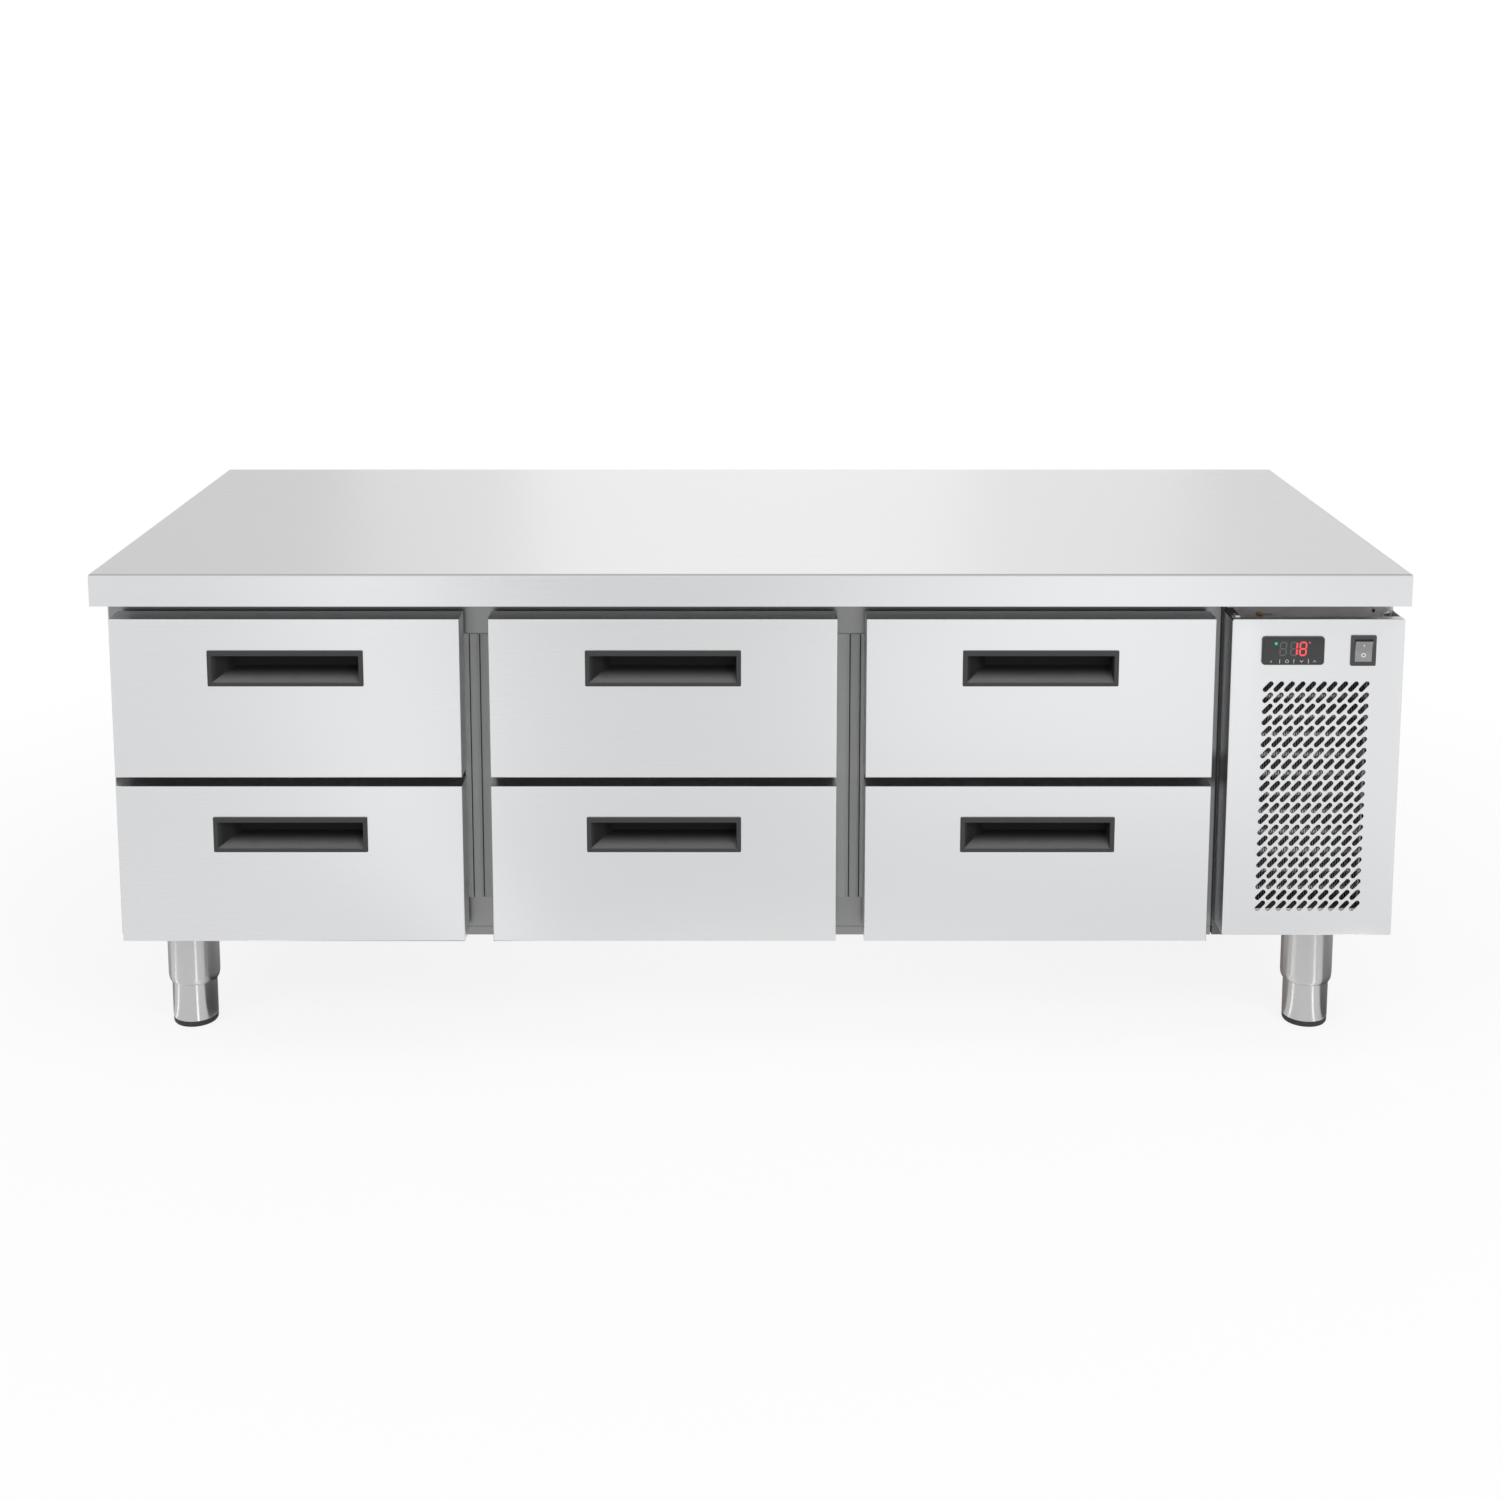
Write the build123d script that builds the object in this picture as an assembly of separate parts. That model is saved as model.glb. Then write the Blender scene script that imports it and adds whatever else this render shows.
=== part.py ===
from build123d import *
import math
import os

# Refrigerated chef base: a low counter with six cold drawers in three columns and a
# machine bay at its right end. Sizes are millimetres. Seen from the front, +X runs
# right, +Y back and +Z up. The origin is on the floor, under the worktop's middle.

os.makedirs("parts", exist_ok=True)

# Worktop
worktop_length = 1600.0
worktop_depth = 700.0
worktop_thickness = 40.0
worktop_height = 620.0
worktop_sheet = 1.5
worktop_return = 30.0
worktop_fold = 3.0

# Cabinet body under the worktop
side_overhang = 5.0
front_overhang = 55.0
back_overhang = 5.0
leg_room = 140.0
casing_sheet = 1.0
machine_bay_width = 211.0
bay_gap = 2.0
column_count = 3
back_insulation = 50.0
liner_sheet = 0.8

# Front frame of the cold body
frame_depth = 20.0
frame_sheet = 1.0
lower_rail_height = 50.0
middle_rail_height = 44.0
upper_rail_height = 48.0
profile_width = 26.0
profile_proud = 1.5
profile_groove_width = 1.6
profile_groove_depth = 0.9
profile_groove_pitch = 12.9

# Drawer fronts
front_standoff = 10.0
side_reveal = 16.0
column_gap = 35.0
bottom_reveal = 12.0
top_reveal = 17.0
row_gap = 11.0
front_thickness = 40.0
front_sheet = 1.0
front_fold = 1.5
seal_overlap = 17.0
gasket_width = 10.0
gasket_inset = 3.0
gasket_clearance = 0.3

# Recessed drawer handles
handle_length = 190.0
handle_height = 45.0
handle_drop = 39.0
handle_proud = 1.5
handle_rim_side = 5.6
handle_rim_top = 7.0
handle_rim_bottom = 5.2
handle_hook = 3.0
handle_wall = 1.5
handle_depth = 25.0
handle_floor_rise = 15.0
handle_side_taper = 22.0
handle_fit = 0.3

# Drawer boxes and their telescopic runners
runner_room = 13.5
runner_sheet = 1.5
runner_clearance = 0.4
runner_height = 46.0
runner_back_room = 20.0
box_sheet = 1.0
box_clearance = 5.0
box_back_room = 30.0
divider_sheet = 1.2
divider_flange = 20.0
divider_hole_length = 60.0
divider_hole_height = 12.0
divider_hole_pitch = 90.0
divider_hole_count = 4

# Machine bay frame and grille panel
bay_stile_width = 15.0
bay_lower_rail_height = 35.0
bay_upper_rail_height = 35.0
panel_bottom_reveal = 20.0
panel_side_gap = 1.0
panel_sheet = 1.0
panel_lip = 12.0
slot_length = 16.0
slot_width = 5.8
slot_lean = 47.0
slot_pitch_x = 13.0
slot_pitch_z = 14.0
slot_columns = 10
slot_rows = 21
slot_field_drop = 224.5
slot_round_share = 0.75
surround_screw_radius = 6.0
surround_screw_head = 2.5
surround_screw_drop = 23.0
surround_screw_inset = 8.0
surround_hole_radius = 2.2
surround_hole_drop = 19.0
surround_hole_inset = 24.3
surround_nub_radius = 3.0
surround_nub_length = 4.0
surround_nub_inset = 45.0
clip_width = 10.0
clip_length = 38.0
clip_sheet = 1.5
clip_inset = 2.7
clip_drop = 15.5
clip_hole_radius = 2.0
clip_hole_inset = 8.0

# Controller and rocker switch in the grille panel
control_drop = 39.0
controller_inset = 75.5
controller_width = 76.0
controller_height = 35.6
controller_proud = 2.5
controller_corner = 2.4
controller_body_width = 71.0
controller_body_height = 29.0
controller_body_depth = 55.0
lens_width = 72.0
lens_height = 31.6
lens_thickness = 1.0
cutout_clearance = 0.3
switch_inset = 161.0
switch_width = 30.8
switch_height = 38.0
switch_proud = 2.5
switch_body_width = 27.0
switch_body_height = 33.0
switch_body_depth = 25.0
switch_corner = 1.2
rocker_width = 20.7
rocker_height = 26.0
rocker_side_clearance = 0.3
rocker_end_clearance = 1.0
rocker_swing = 14.0
rocker_proud = 1.0
rocker_depth = 9.0
rocker_heel_share = 0.8
rocker_pivot_depth = 6.0
rocker_pin_radius = 1.5
rocker_pin_length = 1.5
rocker_pin_clearance = 0.08
rocker_well_depth = 14.0

# Legs
leg_inset_x = 73.0
leg_inset_y = 60.0
leg_plate_side = 90.0
leg_plate_thickness = 3.0
leg_tube_radius = 32.5
leg_tube_length = 82.6
leg_nose_share = 0.85
leg_socket_clearance = 0.3
foot_tube_radius = 28.5
foot_tube_length = 93.0
foot_pad_height = 7.0
foot_pad_radius = 28.0
leg_sides = 20

# Condensing unit
coil_side_room = 20.0
coil_bottom = 24.0
coil_height = 310.0
coil_front_gap = 5.0
coil_depth = 44.0
coil_end_plate = 2.0
fin_count = 18
fin_thickness = 1.0
fin_spine = 1.0
tube_count = 11
tube_radius = 4.75
tube_sides = 8
tube_clearance = 0.2
shroud_sheet = 1.5
shroud_ring_depth = 25.0
shroud_ring_wall = 1.5
condenser_fan_radius = 75.0
fan_tip_gap = 4.0
ring_sides = 24
fan_hub_radius = 18.0
fan_hub_length = 18.0
fan_hub_sides = 20
fan_blade_count = 5
fan_blade_thickness = 1.5
fan_root_chord = 19.0
fan_root_inset = 3.0
fan_tip_chord_share = 0.52
fan_pitch = 26.0
fan_shaft_radius = 4.0
fan_shaft_clearance = 0.08
fan_air_gap = 3.0
motor_radius = 32.0
motor_length = 46.0
motor_sides = 20
motor_arm_width = 8.0
motor_arm_thickness = 2.0
motor_arm_count = 3
compressor_radius = 75.0
compressor_height = 175.0
compressor_dome_height = 30.0
shell_sides = 24
compressor_foot_inset = 13.0
compressor_foot_height = 14.0
compressor_foot_radius = 11.0
compressor_base_side = 150.0
compressor_base_thickness = 3.0
vent_width = 55.0
vent_height = 5.0
vent_pitch_x = 65.0
vent_pitch_z = 12.0
vent_columns = 2
vent_rows = 9
vent_inset = 62.0
vent_lift = 30.0
gland_inset = 30.0
gland_lift = 40.0
gland_radius = 13.0
gland_thread_radius = 9.0
gland_outside = 4.5
gland_inside = 10.0
gland_clearance = 0.3
nut_sides = 6
small_round_sides = 12

# Evaporator in its insulated box on the partition
evaporator_box_width = 150.0
evaporator_depth_share = 0.38
evaporator_floor_gap = 9.0
evaporator_top_gap = 10.0
evaporator_box_wall = 20.0
evaporator_fan_radius = 48.0
evaporator_motor_radius = 24.0
evaporator_motor_length = 34.0
duct_wall = 1.0
return_inset = 20.0
return_back_gap = 5.0
return_height = 30.0
return_drop = 14.0
evaporator_coil_lift = 21.0
evaporator_coil_room = 6.0
evaporator_fin_count = 14
evaporator_tube_count = 4
line_radius = 3.2
line_sides = 6
line_bend = 8.0
line_wall_gap = 9.0
line_lift = 60.0
line_back_inset = 50.0
suction_rise = 63.0
stub_radius = 6.0
stub_length = 4.0
drier_radius = 9.0
drier_length = 90.0

# One length that runs every cut past the face it leaves by
overrun = 5.0


# Places worked out from the sizes above
body_x = (-worktop_length / 2 + side_overhang, worktop_length / 2 - side_overhang)
body_y = (-worktop_depth / 2 + front_overhang, worktop_depth / 2 - back_overhang)
body_z = (leg_room, worktop_height - worktop_thickness)
bay_x = (body_x[1] - machine_bay_width, body_x[1])
bay_middle = sum(bay_x) / 2
cold_x = (body_x[0], bay_x[0] - bay_gap)
frame_x = (cold_x[0] + casing_sheet, cold_x[1])
bay_frame_x = (bay_x[0], bay_x[1] - casing_sheet)
frame_y = (body_y[0], body_y[0] + frame_depth)
front_y = (body_y[0] - front_standoff - front_thickness, body_y[0] - front_standoff)
inner_back = body_y[1] - casing_sheet
floor_z = body_z[0] + casing_sheet
rows_height = body_z[1] - body_z[0] - bottom_reveal - top_reveal
front_height = (rows_height - row_gap) / 2
fronts_width = cold_x[1] - cold_x[0] - 2 * side_reveal - (column_count - 1) * column_gap
front_width = fronts_width / column_count
column_pitch = front_width + column_gap
chamber_z = (body_z[0] + lower_rail_height, body_z[1] - upper_rail_height)
chamber_back = body_y[1] - back_insulation
opening_height = (chamber_z[1] - chamber_z[0] - middle_rail_height) / 2
coil_x = (bay_x[0] + coil_side_room, bay_x[1] - coil_side_room)
coil_y = (frame_y[1] + coil_front_gap, frame_y[1] + coil_front_gap + coil_depth)
coil_z = (floor_z + coil_bottom, floor_z + coil_bottom + coil_height)
ring_y = (coil_y[1] + shroud_sheet, coil_y[1] + shroud_sheet + shroud_ring_depth)
fan_z = sum(coil_z) / 2
duct_z = sum(chamber_z) / 2
duct_radius = evaporator_fan_radius + fan_tip_gap
evaporator_depth = (inner_back - body_y[0]) * evaporator_depth_share
evaporator_x = (cold_x[1], cold_x[1] + evaporator_box_width)
evaporator_y = (inner_back - evaporator_depth, inner_back)
evaporator_z = (duct_z - duct_radius - evaporator_floor_gap - evaporator_box_wall,
                body_z[1] - evaporator_top_gap)
return_y = (evaporator_y[0] + evaporator_box_wall + return_inset, chamber_back - return_back_gap)
return_z = (chamber_z[1] - return_drop - return_height, chamber_z[1] - return_drop)
evaporator_fan_y = sum(return_y) / 2
compressor_y = (ring_y[1] + motor_length + evaporator_y[0]) / 2
compressor_low = floor_z + compressor_foot_height + compressor_base_thickness
compressor_high = compressor_low + compressor_height


def column_x(column):
    """Span of one drawer front, counted from the left."""
    left = cold_x[0] + side_reveal + column * column_pitch
    return left, left + front_width


def opening_x(column):
    """Span of the opening behind a drawer front."""
    left, right = column_x(column)
    return left + seal_overlap, right - seal_overlap


def front_z(row):
    """Height span of a drawer front, counted from the lower row."""
    bottom = body_z[0] + bottom_reveal + row * (front_height + row_gap)
    return bottom, bottom + front_height


def opening_z(row):
    """Height span of the opening behind a drawer front."""
    bottom = chamber_z[0] + row * (opening_height + middle_rail_height)
    return bottom, bottom + opening_height


def box_x(column):
    """Span of a drawer box between its two runners."""
    left, right = opening_x(column)
    return left + runner_room, right - runner_room


def box_z(row):
    """Height span of a drawer box in its opening."""
    bottom, top = opening_z(row)
    return bottom + box_clearance, top - box_clearance


chamber_x = (opening_x(0)[0], opening_x(column_count - 1)[1])
box_y = (front_y[1], chamber_back - box_back_room)
runner_y = (frame_y[1], chamber_back - runner_back_room)
columns = range(column_count)
rows = range(2)
column_names = ("left", "middle", "right")
row_names = ("lower", "upper")


def drawer_name(column, row):
    """Words that tell one drawer from the others."""
    return f"{column_names[column]}_{row_names[row]}"


def block(x_span, y_span, z_span):
    """A box between three spans."""
    spans = (x_span, y_span, z_span)
    size = [high - low for low, high in spans]
    middle = [(low + high) / 2 for low, high in spans]
    return Pos(*middle) * Box(*size)


def grown(span, amount):
    """A span made longer at both ends, or shorter by a negative amount."""
    return span[0] - amount, span[1] + amount


def about(middle, length):
    """A span of one length about its middle."""
    return middle - length / 2, middle + length / 2


def shell(x_span, y_span, z_span, wall, open_faces=""):
    """A box of sheet, hollow inside and left open on the faces named, such as +y."""
    inner = []
    for axis, (low, high) in zip("xyz", (x_span, y_span, z_span)):
        low = low - overrun if f"-{axis}" in open_faces else low + wall
        high = high + overrun if f"+{axis}" in open_faces else high - wall
        inner.append((low, high))
    return block(x_span, y_span, z_span) - block(*inner)


def rod(radius, start, end, sides=0):
    """A bar along one axis from a start point to an end point: round, or with flat sides."""
    path = Vector(*end) - Vector(*start)
    plane = Plane(origin=start, z_dir=path)
    section = RegularPolygon(radius, sides) if sides else Circle(radius)
    return extrude(plane * section, path.length)


def save(node, *shapes):
    """Writes the solids of one sub-part to its own file."""
    solids = [solid for shape in shapes for solid in shape.solids()]
    export_step(Compound(children=solids), f"parts/{node}.step")


def worktop():
    """Folded stainless top: a shallow pan, upside down, with returns under its edges."""
    x_span = (-worktop_length / 2, worktop_length / 2)
    y_span = (-worktop_depth / 2, worktop_depth / 2)
    z_span = (body_z[1], worktop_height)
    pan = shell(x_span, y_span, z_span, worktop_sheet)
    window = block(grown(x_span, -worktop_return), grown(y_span, -worktop_return),
                   (z_span[0] - overrun, z_span[0] + worktop_thickness / 2))
    pan = pan - window
    top_edges = pan.faces().sort_by(Axis.Z)[-1].edges()
    return fillet(top_edges, worktop_fold)


def worktop_core():
    """Board that backs the worktop inside its folds."""
    margin = worktop_sheet + worktop_fold
    x_span = (-worktop_length / 2 + margin, worktop_length / 2 - margin)
    y_span = (-worktop_depth / 2 + margin, worktop_depth / 2 - margin)
    return block(x_span, y_span, (body_z[1] + worktop_sheet, worktop_height - worktop_sheet))


def duct_holes(x_span, margin=0.0):
    """Both air ways through the partition, as solids to cut with."""
    ends = [(x, evaporator_fan_y, duct_z) for x in x_span]
    fan_way = rod(duct_radius + margin, *ends, ring_sides)
    return fan_way + block(x_span, grown(return_y, margin), grown(return_z, margin))


def vent_places():
    """Middles of the air vents in the back panel, behind the compressor."""
    left = bay_x[1] - vent_inset - vent_columns * vent_pitch_x + vent_pitch_x / 2
    low = body_z[0] + vent_lift
    return [(left + i * vent_pitch_x, low + j * vent_pitch_z)
            for i in range(vent_columns) for j in range(vent_rows)]


def gland_place():
    """Middle of the cable gland on the back panel."""
    return bay_x[1] - gland_inset, body_z[0] + gland_lift


def outer_casing():
    """Side, back, base and partition sheets of the cabinet."""
    side_y = (frame_y[0], inner_back)
    left = block((body_x[0], body_x[0] + casing_sheet), side_y, body_z)
    right = block((body_x[1] - casing_sheet, body_x[1]), side_y, body_z)
    back_y = (inner_back, body_y[1])
    back = block(body_x, back_y, body_z)
    cut_y = grown(back_y, overrun)
    for x, z in vent_places():
        back = back - block(about(x, vent_width), cut_y, about(z, vent_height))
    x, z = gland_place()
    hole_ends = [(x, y, z) for y in cut_y]
    back = back - rod(gland_thread_radius + gland_clearance, *hole_ends, small_round_sides)
    inside_x = grown(body_x, -casing_sheet)
    inner_y = (frame_y[1], inner_back)
    base = block(inside_x, inner_y, (body_z[0], floor_z))
    partition_x = (cold_x[1] - casing_sheet, cold_x[1])
    partition = block(partition_x, inner_y, (floor_z, body_z[1]))
    partition = partition - duct_holes(grown(partition_x, overrun))
    return left, right, back, base, partition


def insulation():
    """Foam between the casing and the chamber, and in the channels of the front frame."""
    foam_x = (cold_x[0] + casing_sheet, cold_x[1] - casing_sheet)
    foam = block(foam_x, (frame_y[0], inner_back), (floor_z, body_z[1]))
    for channel in front_frame():
        foam = foam - channel
    tub = (grown(chamber_x, liner_sheet), (frame_y[1], chamber_back + liner_sheet),
           grown(chamber_z, liner_sheet))
    foam = foam - block(*tub)
    for column in columns:
        for row in rows:
            foam = foam - block(opening_x(column), frame_y, opening_z(row))
    ways = duct_holes((chamber_x[1], cold_x[1]), duct_wall)
    return foam - ways


def inner_liner():
    """Five stainless sheets that line the cold chamber, and the two duct sleeves."""
    y_span = (frame_y[1], chamber_back)
    wide_x = grown(chamber_x, liner_sheet)
    sheets = [
        block(wide_x, y_span, (chamber_z[0] - liner_sheet, chamber_z[0])),
        block(wide_x, y_span, (chamber_z[1], chamber_z[1] + liner_sheet)),
        block((chamber_x[0] - liner_sheet, chamber_x[0]), y_span, chamber_z),
        block(wide_x, (chamber_back, chamber_back + liner_sheet), grown(chamber_z, liner_sheet)),
    ]
    right_x = (chamber_x[1], chamber_x[1] + liner_sheet)
    right = block(right_x, y_span, chamber_z) - duct_holes(grown(right_x, overrun))
    sleeve_x = (right_x[1], cold_x[1] - casing_sheet)
    sleeves = duct_holes(sleeve_x, duct_wall) - duct_holes(grown(sleeve_x, overrun))
    return *sheets, right, sleeves


def frame_channel(x_span, z_span, upright):
    """One folded channel of the front frame, with its web to the front."""
    ends = "+y -z +z" if upright else "+y -x +x"
    return shell(x_span, frame_y, z_span, frame_sheet, ends)


def front_frame():
    """Rails, stiles, mullions and middle rails round the six drawer openings."""
    pieces = [
        frame_channel(frame_x, (body_z[0], chamber_z[0]), False),
        frame_channel(frame_x, (chamber_z[1], body_z[1]), False),
        frame_channel((frame_x[0], chamber_x[0]), chamber_z, True),
        frame_channel((chamber_x[1], cold_x[1]), chamber_z, True),
    ]
    for column in columns:
        rail_z = (opening_z(0)[1], opening_z(1)[0])
        pieces.append(frame_channel(opening_x(column), rail_z, False))
    for column in columns[1:]:
        pieces.append(frame_channel((opening_x(column - 1)[1], opening_x(column)[0]), chamber_z, True))
    return pieces


def mullion_profiles():
    """Grooved strips down the middle of the two mullions."""
    strips = []
    y_span = (frame_y[0] - profile_proud, frame_y[0])
    groove_y = (y_span[0] - overrun, y_span[0] + profile_groove_depth)
    for column in columns[1:]:
        middle = (column_x(column - 1)[1] + column_x(column)[0]) / 2
        strip = block(about(middle, profile_width), y_span, chamber_z)
        for side in (-1, 1):
            x = middle + side * profile_groove_pitch / 2
            strip = strip - block(about(x, profile_groove_width), groove_y, grown(chamber_z, overrun))
        strips.append(strip)
    return strips


def divider_panels():
    """Folded sheets behind the mullions, which carry the runners of the bays beside them."""
    sheets = []
    y_span = (frame_y[1], chamber_back)
    for column in columns[1:]:
        zone = (opening_x(column - 1)[1], opening_x(column)[0])
        left = shell((zone[0], zone[0] + divider_flange), y_span, chamber_z, divider_sheet, "+x -y +y")
        right = shell((zone[1] - divider_flange, zone[1]), y_span, chamber_z, divider_sheet, "-x -y +y")
        for i in range(divider_hole_count):
            y = sum(y_span) / 2 + (i - (divider_hole_count - 1) / 2) * divider_hole_pitch
            hole = block(grown(zone, overrun), about(y, divider_hole_length),
                         about(sum(chamber_z) / 2, divider_hole_height))
            left = left - hole
            right = right - hole
        sheets += [left, right]
    return sheets


def runner_member(stage, y_span, column, row):
    """The left and right members of one stage of a drawer's runners: each a C of sheet,
    nested in the one before it. Stage 0 is on the cabinet, 1 between, 2 on the drawer."""
    nest = runner_sheet + runner_clearance
    height = runner_height - 2 * stage * nest
    z_span = about(sum(box_z(row)) / 2, height)
    inner_web = runner_room - runner_sheet
    near = (0, nest, 2 * nest)[stage]
    far = (inner_web - runner_clearance, inner_web - runner_clearance, runner_room)[stage]
    left_wall, right_wall = opening_x(column)
    toward_drawer, toward_wall = ("+x", "-x") if stage < 2 else ("-x", "+x")
    left = shell((left_wall + near, left_wall + far), y_span, z_span, runner_sheet,
                 f"{toward_drawer} -y +y")
    right = shell((right_wall - far, right_wall - near), y_span, z_span, runner_sheet,
                  f"{toward_wall} -y +y")
    return left, right


def cabinet_runners():
    """Outer members of all the telescopic runners, fixed to the liner and the dividers."""
    return [member for column in columns for row in rows
            for member in runner_member(0, runner_y, column, row)]


def drawer_front(column, row):
    """Folded stainless front, hollow here, with a window for the handle."""
    x_span, z_span = column_x(column), front_z(row)
    front = shell(x_span, front_y, z_span, front_sheet)
    window_y = (front_y[0] - overrun, front_y[0] + front_thickness / 2)
    tub_x, tub_z = handle_tub(column, row)
    front = front - block(grown(tub_x, handle_fit), window_y, grown(tub_z, handle_fit))
    edges = front.faces().sort_by(Axis.Y)[0].outer_wire().edges()
    return fillet(edges.filter_by(Axis.X) + edges.filter_by(Axis.Z), front_fold)


def handle_rim(column, row):
    """Outer spans of a handle's rim on its drawer front."""
    top = front_z(row)[1] - handle_drop
    return about(sum(column_x(column)) / 2, handle_length), (top - handle_height, top)


def handle_mouth(column, row):
    """Spans of the finger opening inside the rim."""
    x_span, z_span = handle_rim(column, row)
    return grown(x_span, -handle_rim_side), (z_span[0] + handle_rim_bottom, z_span[1] - handle_rim_top)


def handle_tub(column, row):
    """Outer spans of the handle's tub where it passes through the drawer front."""
    x_span, z_span = handle_mouth(column, row)
    return grown(x_span, handle_wall), (z_span[0] - handle_wall, z_span[1] + handle_hook + handle_wall)


def tapered_pocket(x_span, z_span, y_span, rise, taper):
    """A frustum that narrows to the back: its floor rises and its sides draw in."""
    width, height = x_span[1] - x_span[0], z_span[1] - z_span[0]
    frustum = Wedge(width, y_span[1] - y_span[0], height, taper, rise, width - taper, height,
                    align=Align.MIN)
    return Pos(x_span[0], y_span[0], z_span[0]) * frustum


def drawer_handle(column, row):
    """Moulded recessed handle: a rim on the face and a tapered finger tub behind it, with
    a hook of the rim hanging down in front of the tub's top."""
    rim_x, rim_z = handle_rim(column, row)
    rim = block(rim_x, (front_y[0] - handle_proud, front_y[0]), rim_z)
    tub_x, tub_z = handle_tub(column, row)
    tub = tapered_pocket(tub_x, tub_z, (front_y[0], front_y[0] + handle_depth),
                         handle_floor_rise, handle_side_taper)
    mouth_x, mouth_z = handle_mouth(column, row)
    hook_y = front_y[0] + front_sheet
    cavity = tapered_pocket(mouth_x, (mouth_z[0], mouth_z[1] + handle_hook),
                            (hook_y, front_y[0] + handle_depth - handle_wall),
                            handle_floor_rise, handle_side_taper)
    mouth = block(mouth_x, (front_y[0] - handle_proud - overrun, hook_y), mouth_z)
    return rim + tub - cavity - mouth


def drawer_gasket(column, row):
    """Rubber seal round the back of a drawer front."""
    x_span, z_span = grown(column_x(column), -gasket_inset), grown(front_z(row), -gasket_inset)
    y_span = (front_y[1], body_y[0] - gasket_clearance)
    ring = block(x_span, y_span, z_span)
    return ring - block(grown(x_span, -gasket_width), grown(y_span, overrun), grown(z_span, -gasket_width))


def drawer_box(column, row):
    """Open stainless box behind a drawer front, with the runners' inner members."""
    box = shell(box_x(column), box_y, box_z(row), box_sheet, "+z")
    return box, *runner_member(2, runner_y, column, row)


def machine_bay_frame():
    """Channels round the machine bay's front, with the screw, nub and clip on them."""
    stile_z = (body_z[0] + bay_lower_rail_height, body_z[1] - bay_upper_rail_height)
    pieces = [
        frame_channel(bay_frame_x, (body_z[0], stile_z[0]), False),
        frame_channel(bay_frame_x, (stile_z[1], body_z[1]), False),
        frame_channel((bay_frame_x[0], bay_frame_x[0] + bay_stile_width), stile_z, True),
        frame_channel((bay_frame_x[1] - bay_stile_width, bay_frame_x[1]), stile_z, True),
    ]
    hole_x, hole_z = bay_x[1] - surround_hole_inset, body_z[1] - surround_hole_drop
    pieces[1] = pieces[1] - rod(surround_hole_radius, (hole_x, frame_y[0] - overrun, hole_z),
                                (hole_x, frame_y[0] + overrun, hole_z), small_round_sides)
    screw_x, screw_z = bay_x[1] - surround_screw_inset, body_z[1] - surround_screw_drop
    screw = rod(surround_screw_radius, (screw_x, frame_y[0] - surround_screw_head, screw_z),
                (screw_x, frame_y[0], screw_z), small_round_sides)
    nub_x, nub_z = bay_x[0] + surround_nub_inset, body_z[1] - surround_screw_drop
    nub = rod(surround_nub_radius, (nub_x, frame_y[0] - surround_nub_length, nub_z),
              (nub_x, frame_y[0], nub_z), small_round_sides)
    clip_x = (bay_x[0] + clip_inset, bay_x[0] + clip_inset + clip_width)
    clip_z = (body_z[1] - clip_drop - clip_sheet, body_z[1] - clip_drop)
    clip_y = (frame_y[0] - clip_length, frame_y[0])
    clip = block(clip_x, clip_y, clip_z)
    hole_ends = [(sum(clip_x) / 2, clip_y[0] + clip_hole_inset, z) for z in grown(clip_z, overrun)]
    clip = clip - rod(clip_hole_radius, *hole_ends, small_round_sides)
    return *pieces, screw, nub, clip


def control_z():
    """Height of the controller and the switch."""
    return panel_z()[1] - control_drop


def panel_x():
    """Span of the grille panel."""
    return bay_x[0] + panel_side_gap, bay_x[1]


def panel_z():
    """Height span of the grille panel, level with the drawer fronts at its top."""
    return body_z[0] + panel_bottom_reveal, front_z(1)[1]


def slot_face():
    """A slot's outline: a bar with a two-sided point for each round end."""
    half_length, half_width = slot_length / 2, slot_width / 2
    shoulder = half_length - half_width * slot_round_share
    right = [(shoulder, -half_width), (half_length, 0), (shoulder, half_width)]
    left = [(-x, -z) for x, z in right]
    return make_face(Polyline(*right, *left, close=True))


def slot_places():
    """Middles of the grille's slots."""
    middle_x = bay_middle
    middle_z = panel_z()[1] - slot_field_drop
    return [(middle_x + (i - (slot_columns - 1) / 2) * slot_pitch_x,
             middle_z + (j - (slot_rows - 1) / 2) * slot_pitch_z)
            for i in range(slot_columns) for j in range(slot_rows)]


def grille_panel():
    """Front sheet of the machine bay with its slots and control cut-outs, two deep side
    returns that stand on the frame, and a lip at the top and bottom."""
    x_span, z_span = panel_x(), panel_z()
    sheet_y = (front_y[0], front_y[0] + panel_sheet)
    outline = Pos(sum(x_span) / 2, sum(z_span) / 2) * Rectangle(x_span[1] - x_span[0], z_span[1] - z_span[0])
    slot = Rot(0, 0, slot_lean) * slot_face()
    holes = [Pos(x, z) * slot for x, z in slot_places()]
    gap = 2 * cutout_clearance
    for inset, width, height in ((controller_inset, controller_body_width, controller_body_height),
                                 (switch_inset, switch_body_width, switch_body_height)):
        holes.append(Pos(bay_x[0] + inset, control_z()) * Rectangle(width + gap, height + gap))
    face = Sketch() + (outline.face() - holes)
    sheet = extrude(Plane.XZ.offset(-sheet_y[1]) * face, panel_sheet)
    return_y = (sheet_y[1], body_y[0])
    lip_y = (sheet_y[1], sheet_y[1] + panel_lip)
    inner_x = grown(x_span, -panel_sheet)
    returns = [
        block((x_span[0], inner_x[0]), return_y, z_span),
        block((inner_x[1], x_span[1]), return_y, z_span),
        block(inner_x, lip_y, (z_span[0], z_span[0] + panel_sheet)),
        block(inner_x, lip_y, (z_span[1] - panel_sheet, z_span[1])),
    ]
    return sheet, *returns


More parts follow.
